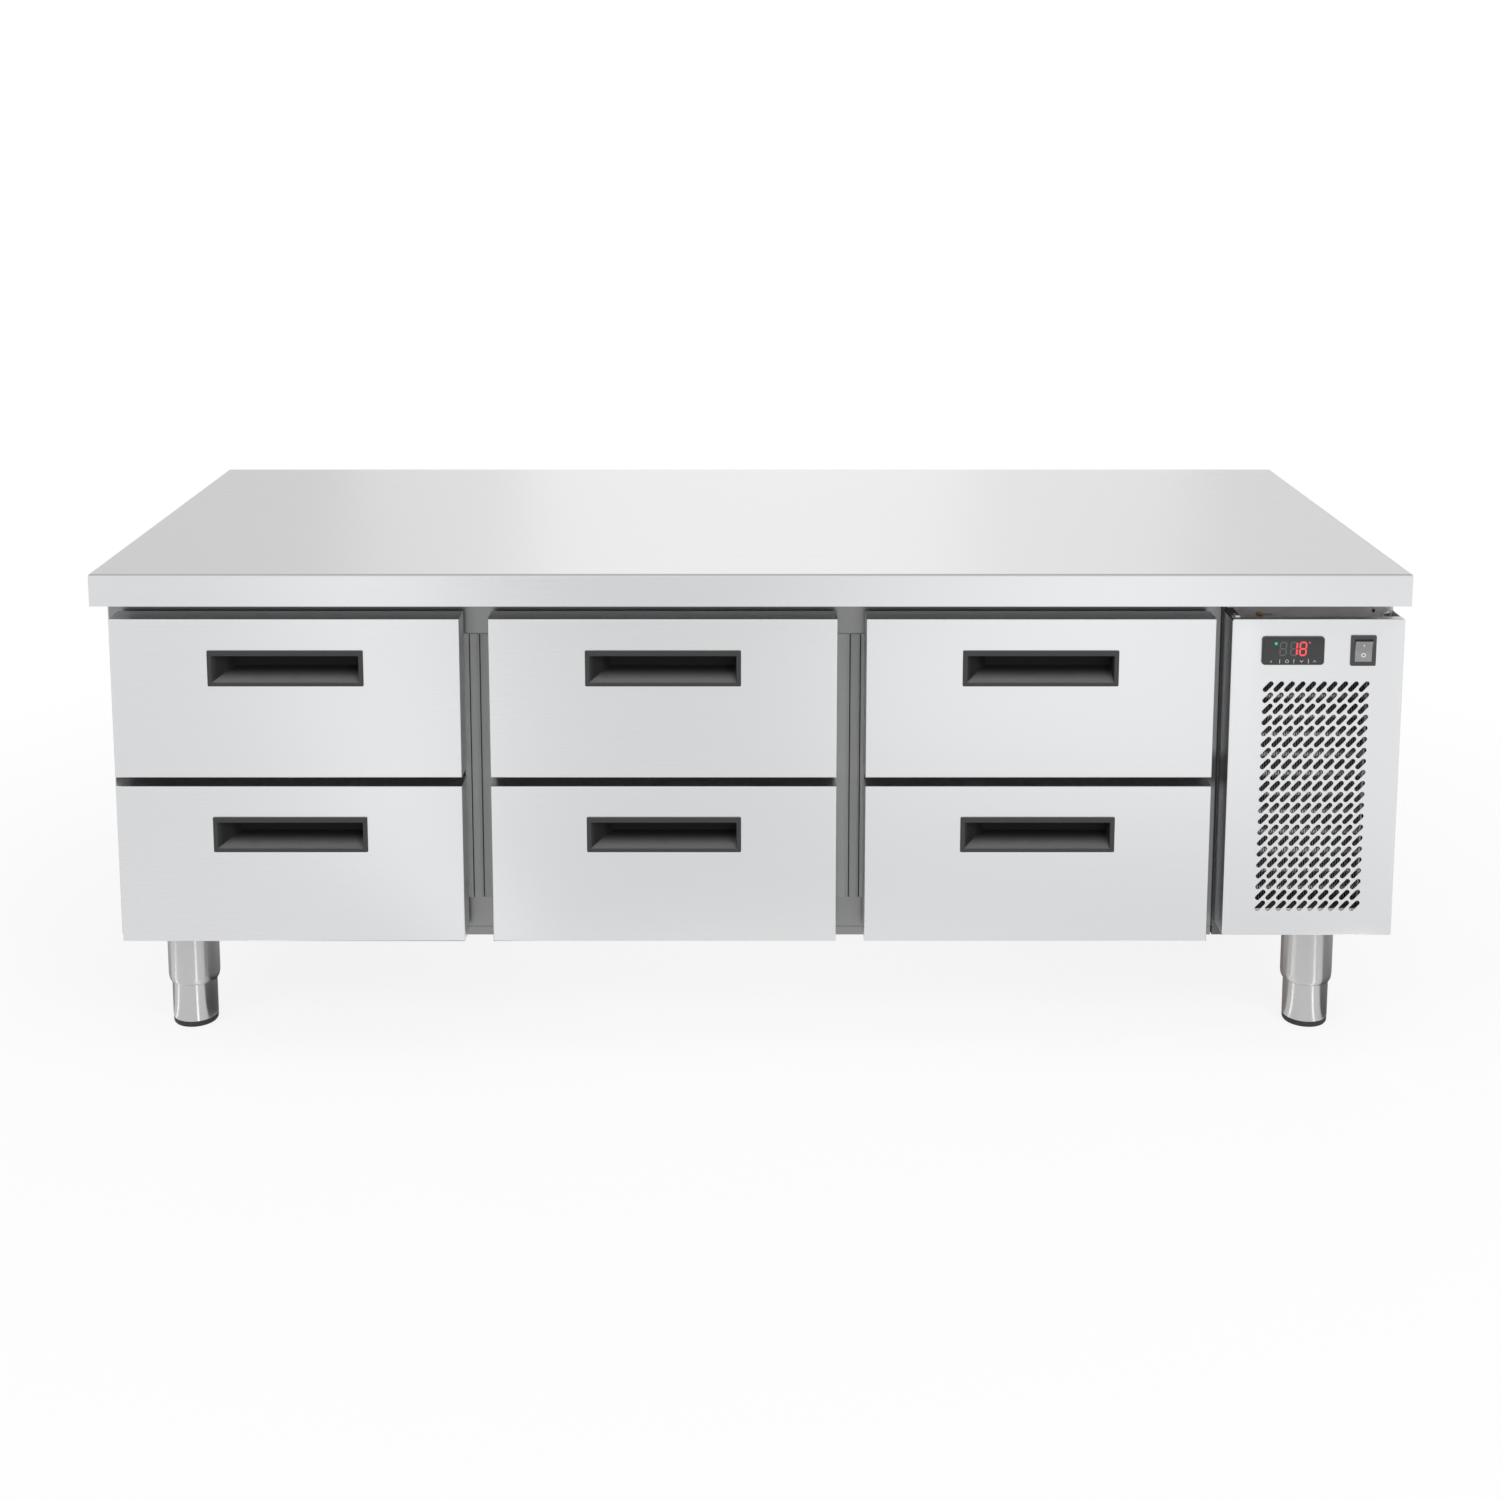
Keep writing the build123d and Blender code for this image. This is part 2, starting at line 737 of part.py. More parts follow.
def bezel(inset, width, height, proud, corner, body_width, body_height, body_depth):
    """A panel-mounted housing: a bezel on the panel's face and a body through its cut-out."""
    x, z = bay_x[0] + inset, control_z()
    plate = block(about(x, width), (front_y[0] - proud, front_y[0]), about(z, height))
    plate = chamfer(plate.edges().filter_by(Axis.Y), corner)
    body = block(about(x, body_width), (front_y[0], front_y[0] + body_depth), about(z, body_height))
    return plate + body


def controller():
    """Electronic controller behind the grille panel, with a recess for its lens."""
    body = bezel(controller_inset, controller_width, controller_height, controller_proud,
                 controller_corner, controller_body_width, controller_body_height,
                 controller_body_depth)
    return body - lens_block(overrun)


def lens_block(forward=0.0):
    """The lens, or with a forward length the recess that it lies in."""
    x, z = bay_x[0] + controller_inset, control_z()
    face = front_y[0] - controller_proud
    return block(about(x, lens_width), (face - forward, face + lens_thickness), about(z, lens_height))


def switch_frame():
    """Switch housing with a well for the rocker and holes for its pivot pins."""
    body = bezel(switch_inset, switch_width, switch_height, switch_proud, switch_corner,
                 switch_body_width, switch_body_height, switch_body_depth)
    x, z = bay_x[0] + switch_inset, control_z()
    face = front_y[0] - switch_proud
    well = block(about(x, rocker_width + 2 * rocker_side_clearance),
                 (face - overrun, face + rocker_well_depth),
                 about(z, rocker_height + 2 * rocker_end_clearance))
    reach = rocker_width / 2 + rocker_side_clearance + rocker_pin_length
    pivot_y = face + rocker_pivot_depth
    pins = rod(rocker_pin_radius + rocker_pin_clearance, (x - reach, pivot_y, z), (x + reach, pivot_y, z))
    return body - well - pins


def rocker():
    """Rocker key, with a shallow V for a face, tipped half its swing, and two pivot pins."""
    x, z = bay_x[0] + switch_inset, control_z()
    face = -rocker_pivot_depth - rocker_proud
    half = rocker_height / 2
    dip = half * math.tan(math.radians(rocker_swing / 2))
    heel = half * rocker_heel_share
    ring = [(face + dip, 0), (face, half), (rocker_depth + face, heel),
            (rocker_depth + face, -heel), (face, -half)]
    side = Plane.YZ * make_face(Polyline(*ring, close=True))
    key = extrude(side, rocker_width / 2, both=True)
    reach = rocker_width / 2 + rocker_pin_length
    key = key + rod(rocker_pin_radius, (-reach, 0, 0), (reach, 0, 0))
    return Pos(x, front_y[0] - switch_proud + rocker_pivot_depth, z) * Rot(rocker_swing / 2, 0, 0) * key


def leg_places():
    """Middles of the four legs: left and right, front and rear."""
    xs = (body_x[0] + leg_inset_x, body_x[1] - leg_inset_x)
    ys = (body_y[0] + leg_inset_y, body_y[1] - leg_inset_y)
    return {f"{side}_{end}": (x, y) for side, x in zip(("left", "right"), xs)
            for end, y in zip(("front", "rear"), ys)}


def leg_sockets():
    """Upper leg tubes, each welded to a plate under the base, open at the lower end."""
    bore = foot_tube_radius + leg_socket_clearance
    top = body_z[0] - leg_plate_thickness
    low = body_z[0] - leg_tube_length
    legs = []
    for x, y in leg_places().values():
        tube = rod(leg_tube_radius, (x, y, low), (x, y, top), leg_sides)
        rim = tube.faces().sort_by(Axis.Z)[0].edges()
        tube = chamfer(rim, (leg_tube_radius - bore) * leg_nose_share)
        tube = tube - rod(bore, (x, y, low - overrun), (x, y, top), leg_sides)
        plate = block(about(x, leg_plate_side), about(y, leg_plate_side), (top, body_z[0]))
        legs.append(tube + plate)
    return legs


def adjustable_foot(x, y):
    """Lower leg that slides in its socket, standing on a pad of black plastic."""
    top = foot_pad_height + foot_tube_length
    tube = rod(foot_tube_radius, (x, y, foot_pad_height), (x, y, top), leg_sides)
    pad = rod(foot_pad_radius, (x, y, 0), (x, y, foot_pad_height), leg_sides)
    return tube, pad


def finned_coil(width, depth, height, foot, fins, tubes):
    """A heat exchanger about its own bottom middle: two end plates that reach down by foot,
    a comb of upright fins with its spine behind, and a row of eight-sided tubes in front."""
    end_x = width / 2 - coil_end_plate
    plates = [block((side * end_x, side * width / 2) if side > 0 else (-width / 2, -end_x),
                    about(0, depth), (-foot, height)) for side in (-1, 1)]
    tube_y = -depth / 2 + tube_radius
    fin_y = (tube_y + tube_radius + tube_clearance, depth / 2)
    comb = block((-end_x, end_x), (fin_y[1] - fin_spine, fin_y[1]), (0, height))
    pitch = 2 * end_x / fins
    for i in range(fins):
        x = -end_x + (i + 0.5) * pitch
        comb = comb + block(about(x, fin_thickness), fin_y, (0, height))
    rods = []
    for j in range(tubes):
        z = (j + 0.5) * height / tubes
        section = Plane.YZ * Pos(tube_y, z) * RegularPolygon(tube_radius, tube_sides)
        rods.append(extrude(section, end_x, both=True))
    return plates + [comb] + rods


def condenser_coil():
    """Condenser behind the grille, standing on its end plates."""
    parts = finned_coil(coil_x[1] - coil_x[0], coil_depth, coil_height, coil_bottom,
                        fin_count, tube_count)
    return [Pos(sum(coil_x) / 2, sum(coil_y) / 2, coil_z[0]) * part for part in parts]


def condenser_fan_shroud():
    """Sheet behind the condenser, with a ring round the fan."""
    radius = condenser_fan_radius + fan_tip_gap
    sheet = block(coil_x, (coil_y[1], ring_y[0]), (floor_z, coil_z[1]))
    ring_ends = [(sum(coil_x) / 2, y, fan_z) for y in ring_y]
    ring = rod(radius + shroud_ring_wall, *ring_ends, ring_sides)
    bore_ends = [(sum(coil_x) / 2, y, fan_z) for y in (coil_y[1] - overrun, ring_y[1] + overrun)]
    return sheet + ring - rod(radius, *bore_ends, ring_sides)


def axial_fan(radius):
    """A fan on the Z axis, with pitched blades round a hub that is bored for its shaft.
    Its hub stands on the origin, where the motor is."""
    fan = rod(fan_hub_radius, (0, 0, 0), (0, 0, fan_hub_length), fan_hub_sides)
    root = fan_hub_radius - fan_root_inset
    turn = 2 * math.pi / fan_blade_count
    tip_chord = radius * turn * fan_tip_chord_share
    tip = math.sqrt(radius ** 2 - (tip_chord / 2) ** 2 - fan_blade_thickness ** 2)
    outline = Polyline((root, -fan_root_chord / 2), (tip, -tip_chord / 2), (tip, tip_chord / 2),
                       (root, fan_root_chord / 2), close=True)
    blade = extrude(make_face(outline), fan_blade_thickness / 2, both=True)
    blade = Pos(0, 0, fan_hub_length / 2) * Rot(fan_pitch, 0, 0) * blade
    for i in range(fan_blade_count):
        fan = fan + Rot(0, 0, math.degrees(i * turn)) * blade
    bore = rod(fan_shaft_radius + fan_shaft_clearance, (0, 0, -overrun), (0, 0, fan_hub_length / 2))
    return fan - bore


def fan_motor(radius, length):
    """A motor on the Z axis, below the origin's fan, with its shaft up into the hub."""
    case = rod(radius, (0, 0, -fan_air_gap - length), (0, 0, -fan_air_gap), motor_sides)
    shaft = rod(fan_shaft_radius, (0, 0, -fan_air_gap), (0, 0, fan_hub_length / 2 - fan_shaft_clearance))
    return case + shaft


def condenser_fan_seat():
    """Where the condenser fan's hub meets its motor, with the fan's axis to the front."""
    return Pos(sum(coil_x) / 2, ring_y[1] - fan_air_gap, fan_z) * Rot(90, 0, 0)


def evaporator_fan_seat():
    """Where the evaporator fan's hub meets its motor, with the fan's axis to the left."""
    x = cold_x[1] + fan_air_gap + fan_hub_length
    return Pos(x, evaporator_fan_y, duct_z) * Rot(0, -90, 0)


def fan_motors():
    """Both fan motors: one on three arms across the shroud's ring, one on a stem from the
    wall of the evaporator's box."""
    main = fan_motor(motor_radius, motor_length)
    reach = condenser_fan_radius + fan_tip_gap + shroud_ring_wall
    for i in range(motor_arm_count):
        arm = block((0, reach), about(0, motor_arm_width), (-fan_air_gap - motor_arm_thickness, -fan_air_gap))
        arm = arm - rod(motor_radius / 2, (0, 0, -motor_length), (0, 0, motor_length), motor_sides)
        main = main + Rot(0, 0, 90 + i * 360 / motor_arm_count) * arm
    small = fan_motor(evaporator_motor_radius, evaporator_motor_length)
    stem_end = evaporator_box_width - evaporator_box_wall - fan_hub_length - fan_air_gap
    stem = rod(evaporator_motor_radius / 2, (0, 0, -stem_end), (0, 0, -fan_air_gap), motor_sides)
    return condenser_fan_seat() * main, evaporator_fan_seat() * (small + stem)


def compressor():
    """Hermetic compressor: a shell with bevelled ends on a plate with rubber feet, and the
    stubs for its two pipes."""
    x, y = bay_middle, compressor_y
    body = rod(compressor_radius, (x, y, compressor_low), (x, y, compressor_high), shell_sides)
    ends = body.faces().filter_by(Axis.Z)
    body = chamfer(ends.edges(), compressor_dome_height)
    body = body + rod(stub_radius, (x, y, compressor_high - stub_length),
                      (x, y, compressor_high + stub_length), small_round_sides)
    stub_z = body_z[0] + line_lift
    body = body + rod(stub_radius, (x, y, stub_z), (x + compressor_radius + stub_length, y, stub_z),
                      small_round_sides)
    half = compressor_base_side / 2
    plate_z = (floor_z + compressor_foot_height, compressor_low)
    body = body + block(grown((x, x), half), grown((y, y), half), plate_z)
    feet = []
    for foot_x in grown((x, x), half - compressor_foot_inset):
        for foot_y in grown((y, y), half - compressor_foot_inset):
            ends = [(foot_x, foot_y, z) for z in (floor_z, plate_z[0])]
            feet.append(rod(compressor_foot_radius, *ends, small_round_sides))
    return body, *feet


def evaporator_housing():
    """Insulated box over the air ways, open towards the cold chamber."""
    return shell(evaporator_x, evaporator_y, evaporator_z, evaporator_box_wall, "-x")


def evaporator_coil():
    """Evaporator across the box, above its fan."""
    inner_y = grown(evaporator_y, -evaporator_box_wall)
    inner_x = (evaporator_x[0], evaporator_x[1] - evaporator_box_wall)
    low = duct_z + duct_radius + evaporator_coil_lift
    high = evaporator_z[1] - evaporator_box_wall - evaporator_coil_room
    depth = inner_x[1] - inner_x[0] - 2 * evaporator_coil_room
    parts = finned_coil(inner_y[1] - inner_y[0], depth, high - low, 0,
                        evaporator_fin_count, evaporator_tube_count)
    place = Pos(sum(inner_x) / 2, sum(inner_y) / 2, low) * Rot(0, 0, 90)
    return [place * part for part in parts]


def pipe(points):
    """A copper pipe of flat-sided section along straight runs, each bend cut in two."""
    corners = [Vector(*point) for point in points]
    route = [corners[0]]
    for before, corner, after in zip(corners, corners[1:], corners[2:]):
        route.append(corner + (before - corner).normalized() * line_bend)
        route.append(corner + (after - corner).normalized() * line_bend)
    path = Polyline(*route, corners[-1])
    start = Plane(origin=corners[0], z_dir=path % 0)
    section = start * RegularPolygon(line_radius, line_sides)
    return sweep(section, path, transition=Transition.RIGHT)


def refrigerant_lines():
    """Discharge, liquid and suction lines, with the drier on the liquid line."""
    right_x = bay_x[1] - casing_sheet - line_wall_gap
    left_x = cold_x[1] + line_wall_gap + line_radius
    z = body_z[0] + line_lift
    coil_middle = sum(coil_y) / 2
    back_y = evaporator_y[0] + line_back_inset
    shell_x = bay_middle + compressor_radius + stub_length
    discharge = pipe([(shell_x, compressor_y, z), (right_x, compressor_y, z),
                      (right_x, coil_middle, z), (coil_x[1], coil_middle, z)])
    liquid = pipe([(coil_x[0], coil_middle, z), (left_x, coil_middle, z),
                   (left_x, back_y, z), (left_x, back_y, evaporator_z[0])])
    drier_ends = [(left_x, y, z) for y in (compressor_y - drier_length, compressor_y)]
    liquid = liquid + rod(drier_radius, *drier_ends, small_round_sides)
    stub_top = compressor_high + stub_length
    suction = pipe([(bay_middle, evaporator_y[0], stub_top + suction_rise),
                    (bay_middle, compressor_y, stub_top + suction_rise),
                    (bay_middle, compressor_y, stub_top)])
    return discharge, liquid, suction


def cable_gland():
    """Gland for the supply cable, through the back panel, with a nut on each side."""
    x, z = gland_place()
    nut = Pos(x, z) * RegularPolygon(gland_radius, nut_sides)
    body = extrude(Plane.XZ.offset(-body_y[1]) * nut, -gland_outside)
    body = body + extrude(Plane.XZ.offset(-inner_back) * nut, gland_inside)
    ends = (inner_back - gland_inside, body_y[1] + gland_outside)
    body = body + rod(gland_thread_radius, *[(x, y, z) for y in ends], small_round_sides)
    bore_ends = [(x, y, z) for y in grown(ends, overrun)]
    return body - rod(gland_thread_radius / 2, *bore_ends, small_round_sides)


save("worktop", worktop())
save("worktop_core", worktop_core())
save("outer_casing", *outer_casing())
save("insulation", insulation())
save("inner_liner", *inner_liner())
save("front_frame", *front_frame())
save("mullion_profiles", *mullion_profiles())
save("divider_panels", *divider_panels())
save("cabinet_runners", *cabinet_runners())
save("machine_bay_frame", *machine_bay_frame())
save("grille_panel", *grille_panel())
save("controller", controller())
save("controller_lens", lens_block())
save("switch_frame", switch_frame())
save("rocker", rocker())
save("leg_sockets", *leg_sockets())
save("condenser_coil", *condenser_coil())
save("condenser_fan_shroud", condenser_fan_shroud())
save("condenser_fan", condenser_fan_seat() * axial_fan(condenser_fan_radius))
save("evaporator_fan", evaporator_fan_seat() * axial_fan(evaporator_fan_radius))
save("fan_motors", *fan_motors())
save("compressor", *compressor())
save("evaporator_housing", evaporator_housing())
save("evaporator_coil", *evaporator_coil())
save("refrigerant_lines", *refrigerant_lines())
save("cable_gland", cable_gland())

for leg, place in leg_places().items():
    save(f"adjustable_foot_{leg}", *adjustable_foot(*place))

for column in columns:
    for row in rows:
        name = drawer_name(column, row)
        save(f"drawer_front_{name}", drawer_front(column, row))
        save(f"drawer_handle_{name}", drawer_handle(column, row))
        save(f"drawer_gasket_{name}", drawer_gasket(column, row))
        save(f"drawer_box_{name}", *drawer_box(column, row))
        save(f"runner_middle_{name}", *runner_member(1, runner_y, column, row))
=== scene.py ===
import math

import bpy
import numpy as np
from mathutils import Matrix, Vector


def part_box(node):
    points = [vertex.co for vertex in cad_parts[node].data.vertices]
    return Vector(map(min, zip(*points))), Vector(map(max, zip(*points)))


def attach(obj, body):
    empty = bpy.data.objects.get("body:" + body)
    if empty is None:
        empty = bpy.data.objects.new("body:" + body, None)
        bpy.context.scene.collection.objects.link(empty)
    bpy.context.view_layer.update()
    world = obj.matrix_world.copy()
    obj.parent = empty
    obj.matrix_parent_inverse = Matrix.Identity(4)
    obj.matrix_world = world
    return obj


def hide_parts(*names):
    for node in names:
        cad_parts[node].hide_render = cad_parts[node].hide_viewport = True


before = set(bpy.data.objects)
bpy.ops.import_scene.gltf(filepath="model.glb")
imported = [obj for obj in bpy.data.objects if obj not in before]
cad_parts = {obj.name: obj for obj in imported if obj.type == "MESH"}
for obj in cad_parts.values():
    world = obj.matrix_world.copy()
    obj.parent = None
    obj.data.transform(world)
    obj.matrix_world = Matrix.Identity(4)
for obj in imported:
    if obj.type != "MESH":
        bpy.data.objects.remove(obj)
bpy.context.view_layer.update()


# The studio: a pale floor under a white sky, soft light from large lamps, and a camera in
# front that looks a little down on the worktop.
camera_data = bpy.data.cameras.new("camera")
camera_data.sensor_width = 36.0
camera_data.lens = 50.24
camera_data.shift_x = 0.0028
camera_data.shift_y = -0.235
camera = bpy.data.objects.new("camera", camera_data)
camera_down = math.radians(8.459)
camera.location = (-0.0057, -2.8171, 1.2025)
camera.rotation_euler = (math.pi / 2 - camera_down, 0.0, 0.0)
scene = bpy.context.scene
scene.collection.objects.link(camera)
scene.camera = camera
scene.view_settings.view_transform = "Standard"


class Wire:
    """One output of a shader node. Arithmetic on it adds Math nodes to its material."""

    def __init__(self, tree, socket):
        self.tree = tree
        self.socket = socket

    def node(self, kind, settings=None, inputs=None, output=0):
        """Adds a node of one type, sets it, fills its sockets, and gives one output."""
        node = self.tree.nodes.new(kind)
        for name, value in (settings or {}).items():
            setattr(node, name, value)
        for name, value in (inputs or {}).items():
            if isinstance(value, Wire):
                self.tree.links.new(value.socket, node.inputs[name])
            else:
                node.inputs[name].default_value = value
        return Wire(self.tree, node.outputs[output])

    def math(self, operation, first, second=0.0):
        return self.node("ShaderNodeMath", {"operation": operation}, {0: first, 1: second})

    def __add__(self, other):
        return self.math("ADD", self, other)

    def __sub__(self, other):
        return self.math("SUBTRACT", self, other)

    def __rsub__(self, other):
        return self.math("SUBTRACT", other, self)

    def __mul__(self, other):
        return self.math("MULTIPLY", self, other)

    def axis(self, index):
        """The x, y or z of a vector wire, by its index."""
        return self.node("ShaderNodeSeparateXYZ", inputs={0: self}, output=index)

    def ranged(self, low, high, kind="LINEAR"):
        """0 at low and 1 at high, and held at these beyond them."""
        inputs = {"Value": self, "From Min": low, "From Max": high}
        return self.node("ShaderNodeMapRange", {"interpolation_type": kind}, inputs)


def shader_tree(owner):
    """The emptied node tree of a material or world, with its output node."""
    owner.use_nodes = True
    tree = owner.node_tree
    tree.nodes.clear()
    kind = "World" if isinstance(owner, bpy.types.World) else "Material"
    return tree, tree.nodes.new(f"ShaderNodeOutput{kind}")


def seen_directly(start):
    """1 for rays of the camera, of gloss and of glass, and 0 for the rest."""
    path = start.tree.nodes.new("ShaderNodeLightPath")
    names = ("Is Camera Ray", "Is Glossy Ray", "Is Transmission Ray")
    wires = [Wire(start.tree, path.outputs[name]) for name in names]
    total = wires[0] + wires[1] + wires[2]
    return total.math("MINIMUM", total, 1.0)


def studio_world():
    """White where it is seen or mirrored, and a plain grey sky as a light."""
    world = bpy.data.worlds.new("studio")
    scene.world = world
    tree, output = shader_tree(world)
    start = Wire(tree, None)
    white, sky_strength = (1, 1, 1, 1), 0.48
    light = start.node("ShaderNodeBackground", inputs={"Color": white, "Strength": sky_strength})
    plain = start.node("ShaderNodeBackground", inputs={"Color": white, "Strength": 1.0})
    both = start.node("ShaderNodeMixShader", inputs={0: seen_directly(start), 1: light, 2: plain})
    tree.links.new(both.socket, output.inputs["Surface"])


studio_world()


def stage_piece(name, points, faces, material):
    """A studio surface, which isn't part of the counter."""
    mesh = bpy.data.meshes.new(name)
    mesh.from_pydata(points.tolist(), [], faces.tolist())
    mesh.polygons.foreach_set("use_smooth", np.ones(len(faces), bool))
    mesh.materials.append(material)
    thing = bpy.data.objects.new(name, mesh)
    scene.collection.objects.link(thing)
    return thing


def floor_paper():
    """Pale paper that keeps the counter's shadow and fades to white farther out."""
    material = bpy.data.materials.new("floor_paper")
    tree, output = shader_tree(material)
    place = Wire(tree, tree.nodes.new("ShaderNodeTexCoord").outputs["Object"])
    pale, near_share, fade_start, fade_end = (0.85, 0.85, 0.85, 1), 0.86, 0.8, 2.0
    paper = place.node("ShaderNodeBsdfPrincipled", inputs={"Base Color": pale, "Roughness": 0.9})
    glow = place.node("ShaderNodeEmission", inputs={"Color": (1, 1, 1, 1), "Strength": 1.0})
    distance = place.node("ShaderNodeVectorMath", {"operation": "LENGTH"}, {0: place}, 1)
    fade = distance.ranged(fade_start, fade_end, "SMOOTHSTEP")
    share = seen_directly(place) * (fade * (1.0 - near_share) + near_share)
    both = place.node("ShaderNodeMixShader", inputs={0: share, 1: paper, 2: glow})
    tree.links.new(both.socket, output.inputs["Surface"])
    return material


floor_reach = 30.0
floor_corners = floor_reach * np.array([[-1, -1, 0], [1, -1, 0], [1, 1, 0], [-1, 1, 0]])
stage_piece("floor", floor_corners, np.array([[0, 1, 2, 3]]), floor_paper())
card_points = 9


def arc(centre, radius, first, last, height):
    """Points on a level arc about a centre, between two bearings in degrees from the
    front."""
    turn = np.radians(np.linspace(first, last, card_points))
    x, y = centre[0] + radius * np.sin(turn), centre[1] - radius * np.cos(turn)
    return np.stack([x, y, np.full(card_points, height)], 1)


def card(name, rows, tone):
    """A grey sheet between two arcs, which only mirrored rays meet: such cards give
    polished steel its darker and lighter bands."""
    index = np.arange(card_points - 1)
    faces = np.stack([index, index + card_points, index + card_points + 1, index + 1], 1)
    material = bpy.data.materials.new(name)
    tree, output = shader_tree(material)
    shine = Wire(tree, None).node("ShaderNodeEmission", inputs={"Color": (*tone, 1), "Strength": 1.0})
    tree.links.new(shine.socket, output.inputs["Surface"])
    thing = stage_piece(name, np.vstack(rows), faces, material)
    thing.visible_camera = thing.visible_diffuse = thing.visible_shadow = False
    thing.visible_transmission = False


# Tall cards far round the counter, then rings flat on the floor in front of it, and last
# small ones close about each leg, just above those rings.
tall_radius, tall_foot, tall_top = 6.0, 0.02, 6.0
for where, first, last, tone in (
        ("right", 62, 125, 0.62), ("left", -145, -115, 0.67), ("back_left", -164, -145, 0.75),
        ("back_dim_left", -171, -164, 0.90), ("back", 171, 189, 1.08),
        ("back_dim_right", 162, 171, 0.96), ("back_right", 145, 162, 0.82)):
    rows = [arc((0, 0), tall_radius, first, last, z) for z in (tall_foot, tall_top)]
    card(f"card_{where}", rows, (tone, tone, tone * 0.99))
ring_height = 0.0003
for where, near, far, first, last, tone in (
        ("near_left", 0.75, 1.42, -75, -31, 0.92), ("near_band", 0.75, 1.42, -31, -23, 1.15),
        ("near_middle", 0.75, 1.42, -22, 9, 0.86), ("near_right", 0.75, 1.42, 9, 60, 0.90),
        ("far_left", 1.42, 2.7, -75, -27, 0.89), ("far_band", 1.42, 2.3, -27, -17, 1.24),
        ("beyond_band", 2.3, 2.7, -27, -17, 0.84), ("far_middle", 1.42, 2.7, -17, 5, 0.90),
        ("far_right", 1.42, 2.7, 5, 31, 1.15), ("far_end", 1.42, 2.7, 31, 60, 1.02),
        ("edge_left_end", 2.7, 5.0, -75, -28.5, 1.05), ("edge_left", 2.7, 5.0, -28.5, -20, 0.62),
        ("edge_spot", 2.7, 5.0, -20, -14.5, 2.10), ("edge_middle", 2.7, 5.0, -14.5, -2, 0.52),
        ("edge_rise", 2.7, 5.0, -2, 6, 0.74), ("edge_next", 2.7, 5.0, 6, 13, 1.02),
        ("edge_right", 2.7, 5.0, 13, 22.5, 1.45), ("edge_dip", 2.7, 5.0, 22.5, 28.5, 0.55),
        ("edge_right_end", 2.7, 5.0, 28.5, 60, 1.12)):
    rows = [arc((0, 0), radius, first, last, ring_height) for radius in (far, near)]
    card(f"floor_{where}", rows, (tone, tone, tone * 1.005))
leg_side, leg_near, leg_height, glint = 0.722, 0.034, 0.0006, (2.6, 2.6, 2.6)
for leg_y, about in ((-0.235, 0), (0.285, 180)):
    for centre in ((-leg_side, leg_y), (leg_side, leg_y)):
        for where, far, first, last, tone in (
                ("dark", 0.42, 60, 172, (0.06, 0.056, 0.06)),
                ("brown", 0.34, -172, -104, (0.30, 0.25, 0.235)),
                ("streak_right", 0.31, 19, 25, glint), ("streak_left", 0.26, -76, -70, glint)):
            rows = [arc(centre, r, first + about, last + about, leg_height) for r in (far, leg_near)]
            card(f"leg_{where}", rows, tone)


def lamp(name, place, target, size, power):
    """A soft rectangular lamp at one place, aimed at another. Steel mirrors the cards and
    the white room, and not the lamps."""
    data = bpy.data.lights.new(name, "AREA")
    data.shape = "RECTANGLE"
    data.size, data.size_y = size
    data.energy = power
    holder = bpy.data.objects.new(name, data)
    holder.location = place
    holder.visible_glossy = False
    aim = Vector(target) - Vector(place)
    holder.rotation_euler = aim.to_track_quat("-Z", "Y").to_euler()
    scene.collection.objects.link(holder)


lamp("lamp_above", (0.5, -1.0, 3.4), (0.1, 0.0, 0.5), (3.0, 2.0), 34.0)
lamp("lamp_right", (2.0, -3.6, 3.0), (0.3, -0.3, 0.4), (1.6, 1.2), 62.0)
lamp("lamp_left", (-2.6, -3.2, 2.8), (-0.3, -0.3, 0.4), (1.6, 1.2), 40.0)


# The folded worktop: a satin stainless pan with its edges turned down all round, backed
# by a board. The sheet's grain runs along the counter.
def finish(name, constants, pattern=None):
    """A material with one Principled shader. Its constants are set on the sockets, and
    pattern takes the wire of Object coordinates and gives the wires of varying sockets."""
    material = bpy.data.materials.new(name)
    tree, output = shader_tree(material)
    shader = tree.nodes.new("ShaderNodeBsdfPrincipled")
    tree.links.new(shader.outputs[0], output.inputs["Surface"])
    for key, value in constants.items():
        shader.inputs[key].default_value = value
    if pattern:
        place = Wire(tree, tree.nodes.new("ShaderNodeTexCoord").outputs["Object"])
        for key, wire in pattern(place).items():
            tree.links.new(wire.socket, shader.inputs[key])
    return material


def noise(place, stretch, detail=2.0, roughness=0.5):
    """Noise whose lumps measure 1 / stretch metres along x, y and z."""
    spot = place.node("ShaderNodeMapping", inputs={"Vector": place, "Scale": stretch})
    inputs = {"Vector": spot, "Scale": 1.0, "Detail": detail, "Roughness": roughness}
    return place.node("ShaderNodeTexNoise", inputs=inputs)


def tint(share, dark, light):
    """A colour between two, by a wire from 0 to 1. Each of the two is a colour or a wire."""
    share_in, dark_in, light_in, colour_out = 0, 6, 7, 2
    dark, light = [end if isinstance(end, Wire) else (*end, 1.0) for end in (dark, light)]
    inputs = {share_in: share, dark_in: dark, light_in: light}
    return share.node("ShaderNodeMix", {"data_type": "RGBA"}, inputs, colour_out)


def bump(height, strength, distance):
    """A normal from a height wire."""
    inputs = {"Height": height, "Strength": strength, "Distance": distance}
    return height.node("ShaderNodeBump", inputs=inputs)


def facing_up(place):
    """The z of the surface's normal: 1 where it faces up, 0 where it is upright."""
    return Wire(place.tree, place.tree.nodes.new("ShaderNodeTexCoord").outputs["Normal"]).axis(2)


